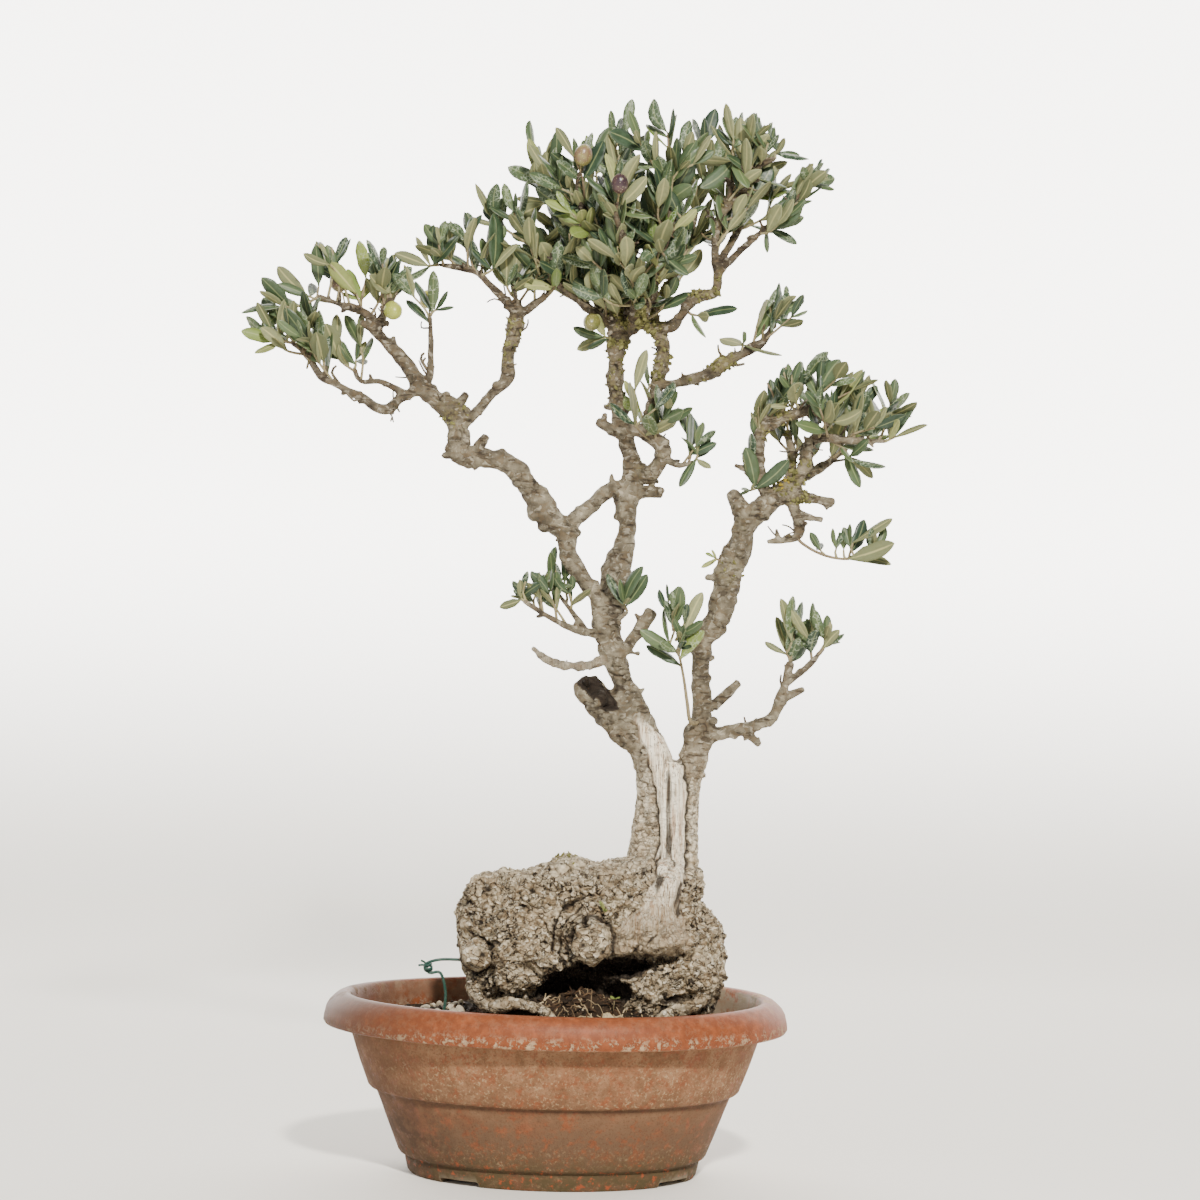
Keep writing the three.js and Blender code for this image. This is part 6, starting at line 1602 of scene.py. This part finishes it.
def add_blade(shell, rng, foot, heading, face, length, bend, young=0.0, half=None):
    """A closed leaf blade: dark upper face, silvery underside, and a rolled rim."""
    side = np.cross(heading, face)
    if half is None:
        half = length * rng.uniform(0.16, 0.215)
    fold = rng.uniform(-0.10, 0.22)
    sway = rng.normal(0, 0.045)
    twist = rng.normal(0, 0.16)
    blunt = rng.uniform(-0.12, 0.16)
    tone = float(np.clip(rng.normal(0.45, 0.26), 0, 1))
    net = float(rng.uniform() < 0.4) * rng.uniform(0.5, 1)
    top, under, marks = [], [], []
    for along, wide in BLADE:
        wide = min(1.0, wide * (1 + blunt * math.sin(math.pi * along)))
        middle = foot + heading * along * length - face * bend * length * along * along
        middle = middle + side * sway * length * math.sin(math.pi * along)
        turn = twist * along
        across_way = side * math.cos(turn) + face * math.sin(turn)
        up = face * math.cos(turn) - side * math.sin(turn)
        for across in ACROSS:
            lift = -fold * half * wide * across * across * 1.4
            rib = 0.10 if across == 0 else 0
            spot = middle + across_way * across * half * wide + up * lift
            thick = 0.31 if abs(across) < 0.9 else 0.12
            if along < 0.1:
                thick = 0.5
            top.append(spot + up * (thick - rib))
            under.append(spot - up * (thick + 1.4 * rib))
            marks.append((tone, young, net, float(across == 0)))
    rows, cols = len(BLADE), len(ACROSS)
    lower = rows * cols
    faces_top, faces_under = [], []
    for a in (r * cols + c for r in range(rows - 1) for c in range(cols - 1)):
        faces_top.append((a, a + 1, a + cols + 1, a + cols))
        faces_under.append((lower + a, lower + a + cols, lower + a + cols + 1, lower + a + 1))
    loop = [r * cols for r in range(rows)] + [(rows - 1) * cols + c for c in range(1, cols)]
    loop += [r * cols + cols - 1 for r in range(rows - 2, -1, -1)]
    loop += range(cols - 2, 0, -1)
    rim = [(a, b, lower + b, lower + a) for a, b in zip(loop, loop[1:] + loop[:1])]
    kinds = [0] * len(faces_top) + [1] * (len(faces_under) + len(rim))
    shell.add(top + under, faces_top + faces_under + rim, kinds, marks * 2)


def add_stem(shell, rng, line, start_radius, end_radius, sides=6):
    line = smooth_line(np.asarray(line, float), 4)
    radii = np.linspace(start_radius, end_radius, len(line))
    shell.add(*tube(line, radii, sides), 2, (rng.uniform(), 0, 0, 0))


YOUNG_SPRAYS = ("left_bright", "right_back", "burl_shoot", "limb_shoot")


def grow_sprays(materials):
    """One fine piece for each leafy solid, with a leaf for each blade that it finds there."""
    for index, (name, (root, tips)) in enumerate(SPRAYS.items()):
        node = "spray_" + name
        corners = corner_rows(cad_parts[node].data, "co") / MM
        rng = np.random.default_rng(SEEDS["sprays"] + index)
        young = 1.0 if name in YOUNG_SPRAYS else 0.0
        # the solids' own seeds, here and below
        seed = index * 1000 + 11
        start = on_limb(*root) if isinstance(root[0], str) else place(*root)
        bare = [place(*point) for point in SHOOT_PATHS.get(name, [])]
        plan = stem_plan(bare[-1] if bare else start, tips[0], seed)
        line = [start, *bare, plan["middle"], plan["foot"]]
        shell = Shell()
        stout = 1.7 if name == "thin_shoot" else 1.25
        add_stem(shell, rng, line, SHOOT_RADIUS * stout, SHOOT_RADIUS * 0.8)

        def leaf(wanted, leaf_seed, stem=None):
            found, took, face, bend = solid_leaf(corners, wanted, leaf_seed)
            if not found:
                return
            if stem is not None:
                add_stem(shell, rng, stem, SHOOT_RADIUS, SHOOT_RADIUS * 0.7)
            youth = young if young else float(rng.uniform() < 0.06) * 0.7
            face = turned_to_view(face, took["heading"])
            add_blade(shell, rng, took["foot"], took["heading"], face, took["length"], bend,
                      youth, took["length"] * LEAF_SLIMNESS * rng.uniform(0.53, 0.62))

        leaf(plan, seed)
        used = []
        for number, tip_point in enumerate(tips[1:], 1):
            tip = place(*tip_point[:3])
            spot = leaf_root(line, tip, used)
            if spot is None:
                continue
            share, foot = spot
            used.append(share)
            reach = tip - foot
            length = np.linalg.norm(reach)
            leaf_seed = seed + number * 40
            if length <= LONGEST_LEAF:
                wanted = {"foot": foot, "heading": reach / length, "length": length, "tip": tip}
                leaf(wanted, leaf_seed)
            else:
                far = stem_plan(foot, tip_point, leaf_seed)
                leaf(far, leaf_seed, [foot, far["foot"]])
        if len(tips) <= 4:
            random = seeded(seed + 900)
            foot = point_on(line, 0.97 - 0.12 * random())
            if bark_gap(foot) >= 1:
                turn = unit(np.cross(plan["heading"], (0, 0.4, 1)))
                turn = rotated(turn, plan["heading"], random() * 6.28)
                for way in (1, -1):
                    heading = unit(plan["heading"] * 0.7 + turn * 0.7 * way)
                    length = min(plan["length"], 28) * (0.75 + 0.2 * random())
                    wanted = {"foot": foot, "heading": heading, "length": length,
                              "tip": foot + heading * length}
                    leaf(wanted, seed + 500 + way * 20)
        shell.build("leaves_" + name, materials, "leaf_young" if young else "leaf", [node])


def turned_to_view(face, heading):
    """Turns a blade that the front view would see edge-on by some 35 degrees."""
    if abs(face[1]) > 0.3:
        return face
    options = [rotated(face, heading, angle) for angle in (0.6, -0.6)]
    return max(options, key=lambda option: abs(option[1]))


def rotated(v, axis, angle):
    c, s = math.cos(angle), math.sin(angle)
    return v * c + np.cross(axis, v) * s + axis * axis.dot(v) * (1 - c)


# ---- further shoots and leaves ------------------------------------------------------
# Outlines of the leafy masses in the front view: across and height.
MASSES = {
    "crown": [(-78, 698), (-79, 716), (-60, 720), (-52, 736), (-42, 764), (-29, 766), (-16, 756),
        (0, 760), (12, 764), (18, 775), (30, 781), (44, 784), (58, 782), (68, 772), (84, 769),
        (97, 780), (110, 780), (122, 775), (135, 771), (143, 765), (156, 757), (170, 743),
        (184, 737), (192, 720), (172, 712), (172, 690), (140, 660), (116, 660), (100, 640),
        (60, 628), (20, 632), (-10, 640), (-50, 645), (-62, 672)],
    "left": [(-244, 620), (-241, 602), (-222, 600), (-190, 596), (-165, 588), (-142, 592),
        (-112, 616), (-92, 626), (-86, 642), (-98, 656), (-116, 657), (-134, 664), (-150, 677),
        (-164, 679), (-180, 668), (-190, 671), (-220, 655), (-229, 648)],
    "mid_left": [(-134, 664), (-105, 688), (-84, 692), (-60, 702), (-50, 692), (-34, 672),
        (-8, 682), (-4, 662), (-26, 640), (-60, 652), (-112, 652)],
    "right": [(122, 494), (122, 530), (136, 566), (146, 582), (160, 592), (188, 602), (208, 593),
        (238, 580), (252, 567), (249, 550), (232, 538), (232, 514), (214, 498), (186, 500),
        (160, 506), (146, 494)],
    "column": [(24, 543), (27, 562), (43, 580), (60, 600), (76, 580), (82, 560), (106, 546),
        (108, 528), (104, 508), (80, 496), (68, 516), (50, 552)],
    "hanging": [(172, 462), (176, 478), (196, 486), (218, 484), (240, 482), (243, 456),
        (236, 440), (200, 440)],
    "shoot": [(48, 382), (50, 402), (62, 422), (84, 438), (106, 428), (108, 396), (98, 372),
        (70, 370)],
    "low_right": [(146, 400), (150, 424), (170, 425), (184, 414), (206, 398), (204, 384),
        (180, 380), (160, 384)],
    "low_left": [(-50, 400), (-44, 424), (-36, 436), (-18, 434), (-8, 456), (6, 452), (14, 430),
        (28, 438), (34, 420), (20, 398), (0, 392), (-10, 376), (-30, 384), (-24, 404)],
    "lichen": [(104, 600), (124, 616), (146, 650), (170, 642), (170, 618), (156, 592), (130, 600)],
}
# Mass, limb, from and to along it, number of shoots, and their length.
EXTRA = [("crown", "crownLeft", 0.35, 1, 5, 34), ("crown", "crownUpLeft", 0.3, 1, 6, 38),
    ("crown", "crownFrontLeft", 0.35, 1, 7, 36), ("crown", "crownCentre", 0.25, 1, 7, 38),
    ("crown", "crownFrontRight", 0.3, 1, 7, 38), ("crown", "crownBackRight", 0.3, 1, 6, 38),
    ("crown", "crownBack", 0.3, 1, 6, 38), ("crown", "crownFront", 0.3, 1, 7, 34),
    ("crown", "crownRight", 0.5, 1, 6, 34), ("crown", "crownFarRight", 0.4, 1, 4, 28),
    ("crown", "crownStub", 0.3, 1, 3, 26), ("crown", "crownRightBack", 0.3, 1, 5, 32),
    ("crown", "crownLeft", 0.15, 0.5, 3, 24), ("crown", "crownUpLeft", 0.15, 0.5, 3, 26),
    ("crown", "crownFrontLeft", 0.15, 0.5, 4, 24), ("crown", "crownFrontRight", 0.15, 0.5, 4, 24),
    ("crown", "crownFront", 0.2, 0.6, 4, 22), ("crown", "crownBackRight", 0.2, 0.5, 2, 26),
    ("crown", "crownBack", 0.2, 0.5, 3, 26), ("crown", "crownCentre", 0.1, 0.5, 4, 26),
    ("crown", "crownFrontLeft", 0.02, 0.3, 4, 20), ("crown", "crownFrontRight", 0.02, 0.3, 4, 20),
    ("crown", "crownFront", 0.05, 0.3, 3, 20), ("crown", "crownLeft", 0.05, 0.35, 3, 20),
    ("crown", "crownLeft", 0.12, 0.3, 3, 15),
    ("left", "stemLeft", 0.90, 1, 5, 34), ("left", "leftLower", 0.55, 1, 5, 30),
    ("left", "leftLowerSide", 0.5, 1, 2, 24), ("left", "darkRiser", 0.4, 1, 2, 26),
    ("left", "upLeftFork", 0.3, 1, 3, 30), ("mid_left", "leftShoot", 0.4, 1, 5, 34),
    ("mid_left", "junctionRight", 0.85, 1, 3, 32), ("mid_left", "junctionTwig", 0.5, 1, 3, 30),
    ("right", "rightArm", 0.35, 1, 8, 30), ("right", "rightArm", 0.05, 0.4, 4, 24),
    ("right", "rightRise", 0.4, 1, 7, 28),
    ("right", "rightBack", 0.3, 1, 5, 28), ("right", "rightArmTwig", 0.4, 1, 2, 22),
    ("right", "uprightStub", 0.3, 1, 4, 24), ("column", "darkArm", 0.5, 0.95, 3, 26),
    ("column", "darkTwig", 0.5, 1, 2, 22), ("column", "columnRight", 0.1, 0.4, 2, 22),
    ("low_right", "lowRight", 0.9, 1, 2, 20), ("low_right", "lowRightFork", 0.6, 1, 3, 20),
    ("low_left", "lowLeft", 0.4, 1, 6, 18), ("low_left", "lowLeftSide", 0.4, 1, 4, 16),
    ("lichen", "lichenBranch", 0.7, 1, 4, 24), ("shoot", "thinShoot", 0.45, 1, 6, 14),
    ("hanging", "hangingShoot", 0.05, 1, 6, 7)]
# Two thin shoots, as limbs: across, height, radius and depth.
SHOOT_LINES = {
    "thinShoot": [[90, 342, 1, -18], [87, 360, 1, -22], [83, 377, 1, -26], [79, 392, 1, -29],
                  [77, 406, 1, -31]],
    "hangingShoot": [[180, 454, 1, -24], [192, 450, 1, -28], [204, 449, 1, -30],
                     [216, 450, 1, -31], [228, 453, 1, -32]],
}
# The point that the shoots of each mass grow away from.
MASS_HEART = {"shoot": (80, 380, -20), "hanging": (204, 430, -30),
    "crown": (50, 640, 5), "left": (-130, 570, -28), "mid_left": (-50, 600, -12),
    "right": (160, 500, -12), "column": (58, 505, 10),
    "low_right": (158, 345, -16), "low_left": (10, 385, -8), "lichen": (110, 580, -8)}
# How far in depth shoots, leaf tips and bare twigs may reach, and how high the twigs may.
SHOOT_DEPTH, LEAF_DEPTH, TWIG_DEPTH, TWIG_TOP = 66, 72, 70, 735
# Masses with smaller leaves, and how much smaller they are.
SMALL_LEAVED = {"shoot": 0.68, "hanging": 0.68, "low_left": 0.8}


def inside_mass(name, points, spare=0.0):
    """Whether each point stands within the outline of a leafy mass in the front view."""
    x, z = in_view(np.atleast_2d(points))
    corners = np.array(MASSES[name], float)
    centre = corners.mean(axis=0)
    corners = centre + (corners - centre) * (1 + spare)
    hit = np.zeros(len(x), bool)
    for (xa, za), (xb, zb) in zip(corners, np.roll(corners, -1, axis=0)):
        crosses = (za > z) != (zb > z)
        with np.errstate(divide="ignore", invalid="ignore"):
            edge = (xb - xa) * (z - za) / (zb - za) + xa
        hit ^= crosses & (x < edge)
    return hit


def extra_shoots(materials):
    """The shoots that fill the leafy masses between the solids' shoots."""
    shells = {}
    for number, (mass, limb, low, high, count, length) in enumerate(EXTRA):
        rng = np.random.default_rng(SEEDS["shoots"] + number)
        heart = place(*MASS_HEART[mass])
        shell = shells.setdefault(mass, Shell())
        for k in range(count):
            share = low + (high - low) * (k + rng.uniform(0.2, 0.8)) / count
            start = on_limb(limb, share)
            for _ in range(12):
                outward = unit(start - heart)
                way = unit(outward * 0.6 + np.array([0, 0, 0.75]) + rng.normal(0, 0.45, 3))
                reach = length * rng.uniform(0.7, 1.25)
                end = start + way * reach
                if inside_mass(mass, end)[0] and abs(end[1]) < SHOOT_DEPTH:
                    break
            else:
                continue
            sag = rng.normal(0, 0.09, 3) * reach
            line = np.array([start, start + way * reach * 0.5 + sag, end])
            add_stem(shell, rng, line, 1.15, 0.7, 5)
            leaf_pairs(shell, rng, mass, smooth_line(line, 3), heart)
    for mass, shell in shells.items():
        shell.build("more_leaves_" + mass, materials, "leaf")


# Limb, from and to along it, and how many bare twigs it carries.
TWIGS = [("crownLeft", 0.1, 0.9, 9), ("crownUpLeft", 0.1, 0.8, 9), ("crownFrontLeft", 0.1, 0.8, 10),
    ("crownCentre", 0.1, 0.8, 10), ("crownFrontRight", 0.1, 0.8, 10), ("crownFront", 0.1, 0.8, 9),
    ("crownBackRight", 0.1, 0.8, 8), ("crownBack", 0.1, 0.8, 8), ("crownRight", 0.2, 1, 12),
    ("crownFarRight", 0.2, 1, 6), ("crownStub", 0.2, 1, 5), ("limbBack", 0.75, 1, 8),
    ("columnRight", 0.2, 1, 7), ("lichenBranch", 0.3, 1, 8), ("rightArm", 0.2, 0.9, 8),
    ("rightRise", 0.2, 0.9, 7), ("rightBack", 0.2, 0.9, 5), ("uprightStub", 0.3, 1, 5),
    ("lowerHook", 0.2, 0.9, 4), ("stemLeft", 0.7, 0.98, 12), ("leftLower", 0.1, 0.9, 8),
    ("junctionRight", 0.2, 1, 7), ("leftShoot", 0.1, 0.9, 5), ("upLeftFork", 0.2, 0.9, 3),
    ("darkRiser", 0.2, 0.9, 5), ("junctionTwig", 0.3, 1, 3), ("darkArm", 0.1, 0.9, 6),
    ("lowRight", 0.3, 1, 5), ("jin", 0.2, 0.7, 1), ("cutStub", 0.4, 0.9, 2)]


def twig_piece():
    """Short bare twigs and snags, dark and dry."""
    shell = Shell()
    for number, (limb, low, high, count) in enumerate(TWIGS):
        rng = np.random.default_rng(SEEDS["twigs"] + number)
        for _ in range(count):
            share = rng.uniform(low, high)
            start, ahead = on_limb(limb, share), on_limb(limb, min(share + 0.05, 1))
            along = unit(ahead - on_limb(limb, max(share - 0.05, 0)))
            way = unit(along * rng.uniform(0.1, 0.9) + rng.normal(0, 0.7, 3) + (0, 0, 0.4))
            reach = rng.uniform(5, 13) + 3
            bend = rng.normal(0, 0.2, 3) * reach
            thick = rng.uniform(0.8, 1.6)
            line = smooth_line([start, start + way * reach * 0.55 + bend,
                                start + way * reach + bend * 0.4], 3)
            if abs(line[-1][1]) > TWIG_DEPTH or line[-1][2] > TWIG_TOP:
                continue
            tone = rng.uniform(0, 0.7)
            shell.add(*tube(line, np.linspace(thick, thick * 0.55, len(line)), 6), 0,
                      (0, 0.5 * (rng.uniform() < 0.3), 0.2, tone))
            if rng.uniform() < 0.5:
                spot = line[len(line) // 2]
                side = unit(way + rng.normal(0, 0.7, 3)) * rng.uniform(2, 6)
                shell.add(*tube([spot, spot + side * 0.5, spot + side],
                                [thick * 0.75, thick * 0.6, thick * 0.5], 6), 0, (0, 0, 0.2, tone))
    shell.build("bare_twigs", [bpy.data.materials["bark_and_deadwood"]], "bark")


def hides_fruit(point):
    """Whether a leaf here would stand before a fruit that shows in the photo."""
    x, z = in_view(np.atleast_2d(point))
    for name, (centre, radius, *_) in OLIVES.items():
        near = math.hypot(x[0] - centre[0], z[0] - centre[1]) < radius + 4
        if near and name not in ("olive_5", "olive_6") and point[1] < place(*centre)[1] + radius:
            return True
    return False


def leaf_pairs(shell, rng, mass, curve, heart):
    """Pairs of leaves along a shoot, each pair turned from the last, within its mass."""
    young = float(rng.uniform() < 0.05) * rng.uniform(0.4, 0.9)
    spin_angle = rng.uniform(0, 6.28)
    distance = np.concatenate([[0], np.cumsum(np.linalg.norm(np.diff(curve, axis=0), axis=1))])
    stations = np.arange(distance[-1], distance[-1] * 0.2, -rng.uniform(8, 11.5))
    for index, where in enumerate(stations):
        foot = np.array([np.interp(where, distance, curve[:, k]) for k in range(3)])
        back = np.array([np.interp(where - 3, distance, curve[:, k]) for k in range(3)])
        ahead = foot - back
        if np.linalg.norm(ahead) < 1e-6:
            continue
        ahead = unit(ahead)
        across = unit(np.cross(ahead, (0.3, 0.2, 1)))
        across = rotated(across, ahead, spin_angle + index * math.pi / 2)
        opening = 0.42 if index == 0 else rng.uniform(0.55, 0.95)
        for way in (1, -1):
            if index and rng.uniform() < 0.12:
                continue
            heading = unit(ahead + across * way * opening + rng.normal(0, 0.16, 3)
                           + np.array([0, 0, 0.35]))
            leaf_length = rng.uniform(20, 32) * (0.85 if index == 0 else 1)
            leaf_length *= SMALL_LEAVED.get(mass, 1)
            outward = unit((foot - heart + (0, -12, 0)) * (1, 1, 0)) + (0, 0, 0.9)
            face = unit(np.cross(np.cross(heading, ahead), heading)
                        if rng.uniform() < 0.35 else outward + rng.normal(0, 0.5, 3))
            face = unit(face - heading * face.dot(heading))
            if face.dot(outward) < 0 and rng.uniform() < 0.75:
                face = -face
            face = turned_to_view(unit(face - heading * face.dot(heading)), heading)
            tip = foot + heading * leaf_length
            if not inside_mass(mass, tip)[0] or abs(tip[1]) > LEAF_DEPTH:
                leaf_length *= 0.7
                tip = foot + heading * leaf_length
                if not inside_mass(mass, tip, 0.02)[0]:
                    continue
            if any(hides_fruit(foot + (tip - foot) * part) for part in (0.25, 0.5, 0.75, 1)):
                continue
            add_blade(shell, rng, foot, heading, face, leaf_length, rng.uniform(-0.02, 0.12),
                      young)


# ---- fruit, tie, sprout and lichen ---------------------------------------------------
# Centre, radius, the limb and share its stalk hangs from, and its colours.
OLIVES = {
    "olive_1": [[-130, 621, -44], 6.5, ["upLeftFork", 0.8], (150, 158, 66), (178, 176, 96)],
    "olive_2": [[-105, 630, -22], 6, ["darkRiser", 0.95], (176, 172, 74), (200, 188, 92)],
    "olive_3": [[-170, 641, -30], 6.5, ["stemLeft", 0.96], (112, 104, 66), (86, 62, 62)],
    "olive_4": [[5, 737, -54], 6.5, ["fruitTwigLeft", 0.96], (132, 124, 76), (112, 84, 68)],
    "olive_5": [[32, 717, -74], 6, ["fruitTwigRight", 0.96], (76, 54, 52), (52, 36, 42)],
    # olive_6 is coloured darker as painted shade, for it hangs in shadow at the crown's base
    "olive_6": [[14, 616, -12], 6.2, ["crownLeft", 0.22], (96, 100, 48), (112, 108, 60)]}


def olive_pieces():
    """The fruits, each with a dimple and the stalk that it hangs from."""
    for index, (name, (centre, radius, root, base, blush)) in enumerate(OLIVES.items()):
        rng = np.random.default_rng(SEEDS["olives"] + index)
        middle = place(*centre)
        start = on_limb(*root)
        hang = unit(start - middle)
        side = unit(np.cross(hang, (0.3, 1, 0.2)))
        other = np.cross(hang, side)
        rings = []
        angles = around(36)
        for lean in np.linspace(-math.pi / 2, math.pi / 2, 22)[1:-1]:
            narrow = math.cos(lean) * (1 + 0.05 * math.sin(lean))
            across = radius * narrow * (1 + 0.012 * np.sin(3 * angles + index))
            rise = radius * 1.2 * math.sin(lean) - 0.7 * math.exp(-((lean - 1.5) / 0.2) ** 2)
            rings.append(middle + np.outer(across * np.cos(angles), side)
                         + np.outer(across * np.sin(angles), other) + hang * rise)
        dimple = middle + hang * radius * 1.08
        shell = Shell()
        shell.add(*loft(rings, middle - hang * radius * 1.22, dimple))
        bend = start + (middle - start) * 0.45 + (0, 0, 1.5)
        line = smooth_line([start, bend, dimple + hang * 0.6, middle + hang * radius * 0.8], 1.5)
        radii = 0.62 + 0.5 * np.exp(-np.linspace(6, 0, len(line)) ** 2)
        shell.add(*tube(line, radii, 8), 0, (1, 0, 0, rng.uniform()))
        paint = olive_material(name + "_skin", srgb(*base), srgb(*blush), srgb(206, 204, 150))
        slot = "fruit_purple" if name in ("olive_3", "olive_5") else "fruit_green"
        shell.build(name + "_fruit", [paint], slot, [name])


def tie_piece():
    """The plant tie: a bent wire with three windings and two free ends."""
    shell = Shell()
    line = smooth_line([place(*point) for point in TIE_PATH], 1.6)
    shell.add(*tube(line, np.full(len(line), 1.05), 12, 0.5))
    knot = place(-93, 146, -25)
    for turn in range(3):
        angles = np.linspace(0, 2 * math.pi, 22)
        loop = np.stack([2.6 * np.cos(angles), 2.2 * np.sin(angles),
                         (turn - 1) * 1.7 + 0.5 * np.sin(angles + turn)], axis=1)
        lean = rotation(0.5 * turn, 0.9 - 0.5 * turn)
        shell.add(*tube(knot + loop @ lean.T, np.full(len(angles), 0.85), 9))
    for way in ((-5, -2, 5), (-7, 1, 1)):
        tail = smooth_line([knot, knot + np.array(way) * 0.5 + (0, 0, 1), knot + way], 1.2)
        shell.add(*tube(tail, np.full(len(tail), 0.8), 9))
    shell.build("tie_cord", [tie_material()], "tie", ["plant_tie"])


def rotation(a, b):
    """A turn by b about the first axis, then by a about the third."""
    ca, sa, cb, sb = math.cos(a), math.sin(a), math.cos(b), math.sin(b)
    return np.array([[ca, -sa, 0], [sa, ca, 0], [0, 0, 1]]) \
        @ np.array([[1, 0, 0], [0, cb, -sb], [0, sb, cb]])


def sprout_piece(materials):
    """A seedling with four small leaves."""
    rng = np.random.default_rng(SEEDS["sprout"])
    shell = Shell()
    root = place(42, 121, -58)
    top = root + (0.5, -0.5, 5)
    add_stem(shell, rng, [root - (0, 0, 3), root + (0.4, 0, 2), top], 0.45, 0.3)
    for turn in (0.4, 2.2, 3.9, 5.4):
        heading = unit(np.array([math.cos(turn), math.sin(turn), 0.45]))
        face = unit(np.array([0, -0.2, 1]) - heading * heading[2])
        add_blade(shell, rng, top, heading, face, rng.uniform(3.6, 5.2), 0.1, 1.0,
                  rng.uniform(1.1, 1.5))
    shell.build("soil_sprout", materials, "leaf_young")


def lichen_piece(points, normals, strength):
    """Small tufts on the bark, thickest where the bark's own lichen is strongest."""
    rng = np.random.default_rng(SEEDS["lichen"])
    x, z = in_view(points)
    weight = np.clip(strength - 0.35, 0, 1)
    chosen = rng.choice(len(points), 1500, replace=False, p=weight / weight.sum())
    shell = Shell()
    yellow_spots = [(153, 505), (133, 600)]
    for index in chosen:
        size = rng.uniform(0.5, 1.7) * (0.75 + 0.4 * strength[index])
        shape = lump(rng, size, 0.3)
        yellow = any(math.hypot(x[index] - a, z[index] - b) < 7 for a, b in yellow_spots)
        spot = points[index] + normals[index] * size * 0.25
        shell.add(shape + spot, ICO_FACES, 0, (rng.uniform(), 0.8 * yellow, 0, 0))
    shell.build("lichen_tufts", [lichen_material()], "bark", smooth=False)


# ---- stage, light and camera ---------------------------------------------------------
def stage():
    """A floor that bends up into a wall, in metres."""
    back, front, wide, bend = 2.0, -4.5, 4.0, 0.9
    profile = [(front, 0), (back - bend, 0)]
    profile += [(back - bend + bend * math.sin(a), bend - bend * math.cos(a))
                for a in np.linspace(0.1, math.pi / 2, 14)]
    profile += [(back, 3.0)]
    verts = [(x, y, z) for y, z in profile for x in (-wide, wide)]
    faces = [(2 * i, 2 * i + 1, 2 * i + 3, 2 * i + 2) for i in range(len(profile) - 1)]
    mesh = bpy.data.meshes.new("stage")
    mesh.from_pydata(verts, [], faces)
    mesh.materials.append(stage_material())
    shade(mesh)
    floor = in_scene("stage", mesh)


def lamp(name, spot, aim, size, watts, colour):
    """A round lamp that points at aim."""
    light = bpy.data.lights.new(name, "AREA")
    light.shape = "DISK"
    light.size = size
    light.energy = watts
    light.color = colour
    obj = in_scene(name, light)
    obj.location = spot
    obj.rotation_euler = (Vector(aim) - Vector(spot)).to_track_quat("-Z", "Y").to_euler()


def lights():
    """A small bright key from the front, a broad dim fill from the left, and a pale sky."""
    lamp("key", (0.5, -2.33, 1.95), (0, 0, 0.4), 0.24, 142, (1.0, 0.95, 0.875))
    lamp("fill", (-2.0, -1.9, 1.1), (0, 0, 0.35), 2.2, 15, (1.0, 0.98, 0.95))
    world = bpy.data.worlds.new("soft_sky")
    bpy.context.scene.world = world
    world.use_nodes = True
    sky = world.node_tree.nodes["Background"]
    sky.inputs["Color"].default_value = (0.93, 0.96, 1.0, 1)
    sky.inputs["Strength"].default_value = 0.3


def camera():
    """Stands where the photo's camera stood."""
    data = bpy.data.cameras.new("camera")
    data.sensor_width = SENSOR
    data.lens = FOCAL_PIXELS / FRAME_PIXELS * SENSOR
    data.clip_end = 50
    obj = in_scene("camera", data)
    obj.location = (VIEW_SIDE * MM, -VIEW_DISTANCE * MM, VIEW_HEIGHT * MM)
    obj.rotation_euler = (math.pi / 2, math.radians(CAMERA_ROLL), 0)
    bpy.context.scene.camera = obj


camera()
stage()
lights()
leaf_paints = [leaf_upper_material(), leaf_under_material(), shoot_material()]
pot_piece()
wood_points, wood_normals, wood_lichen = wood_pieces()
soil_piece()
litter_piece()
grow_sprays(leaf_paints)
extra_shoots(leaf_paints)
twig_piece()
olive_pieces()
tie_piece()
sprout_piece(leaf_paints)
lichen_piece(wood_points, wood_normals, wood_lichen)
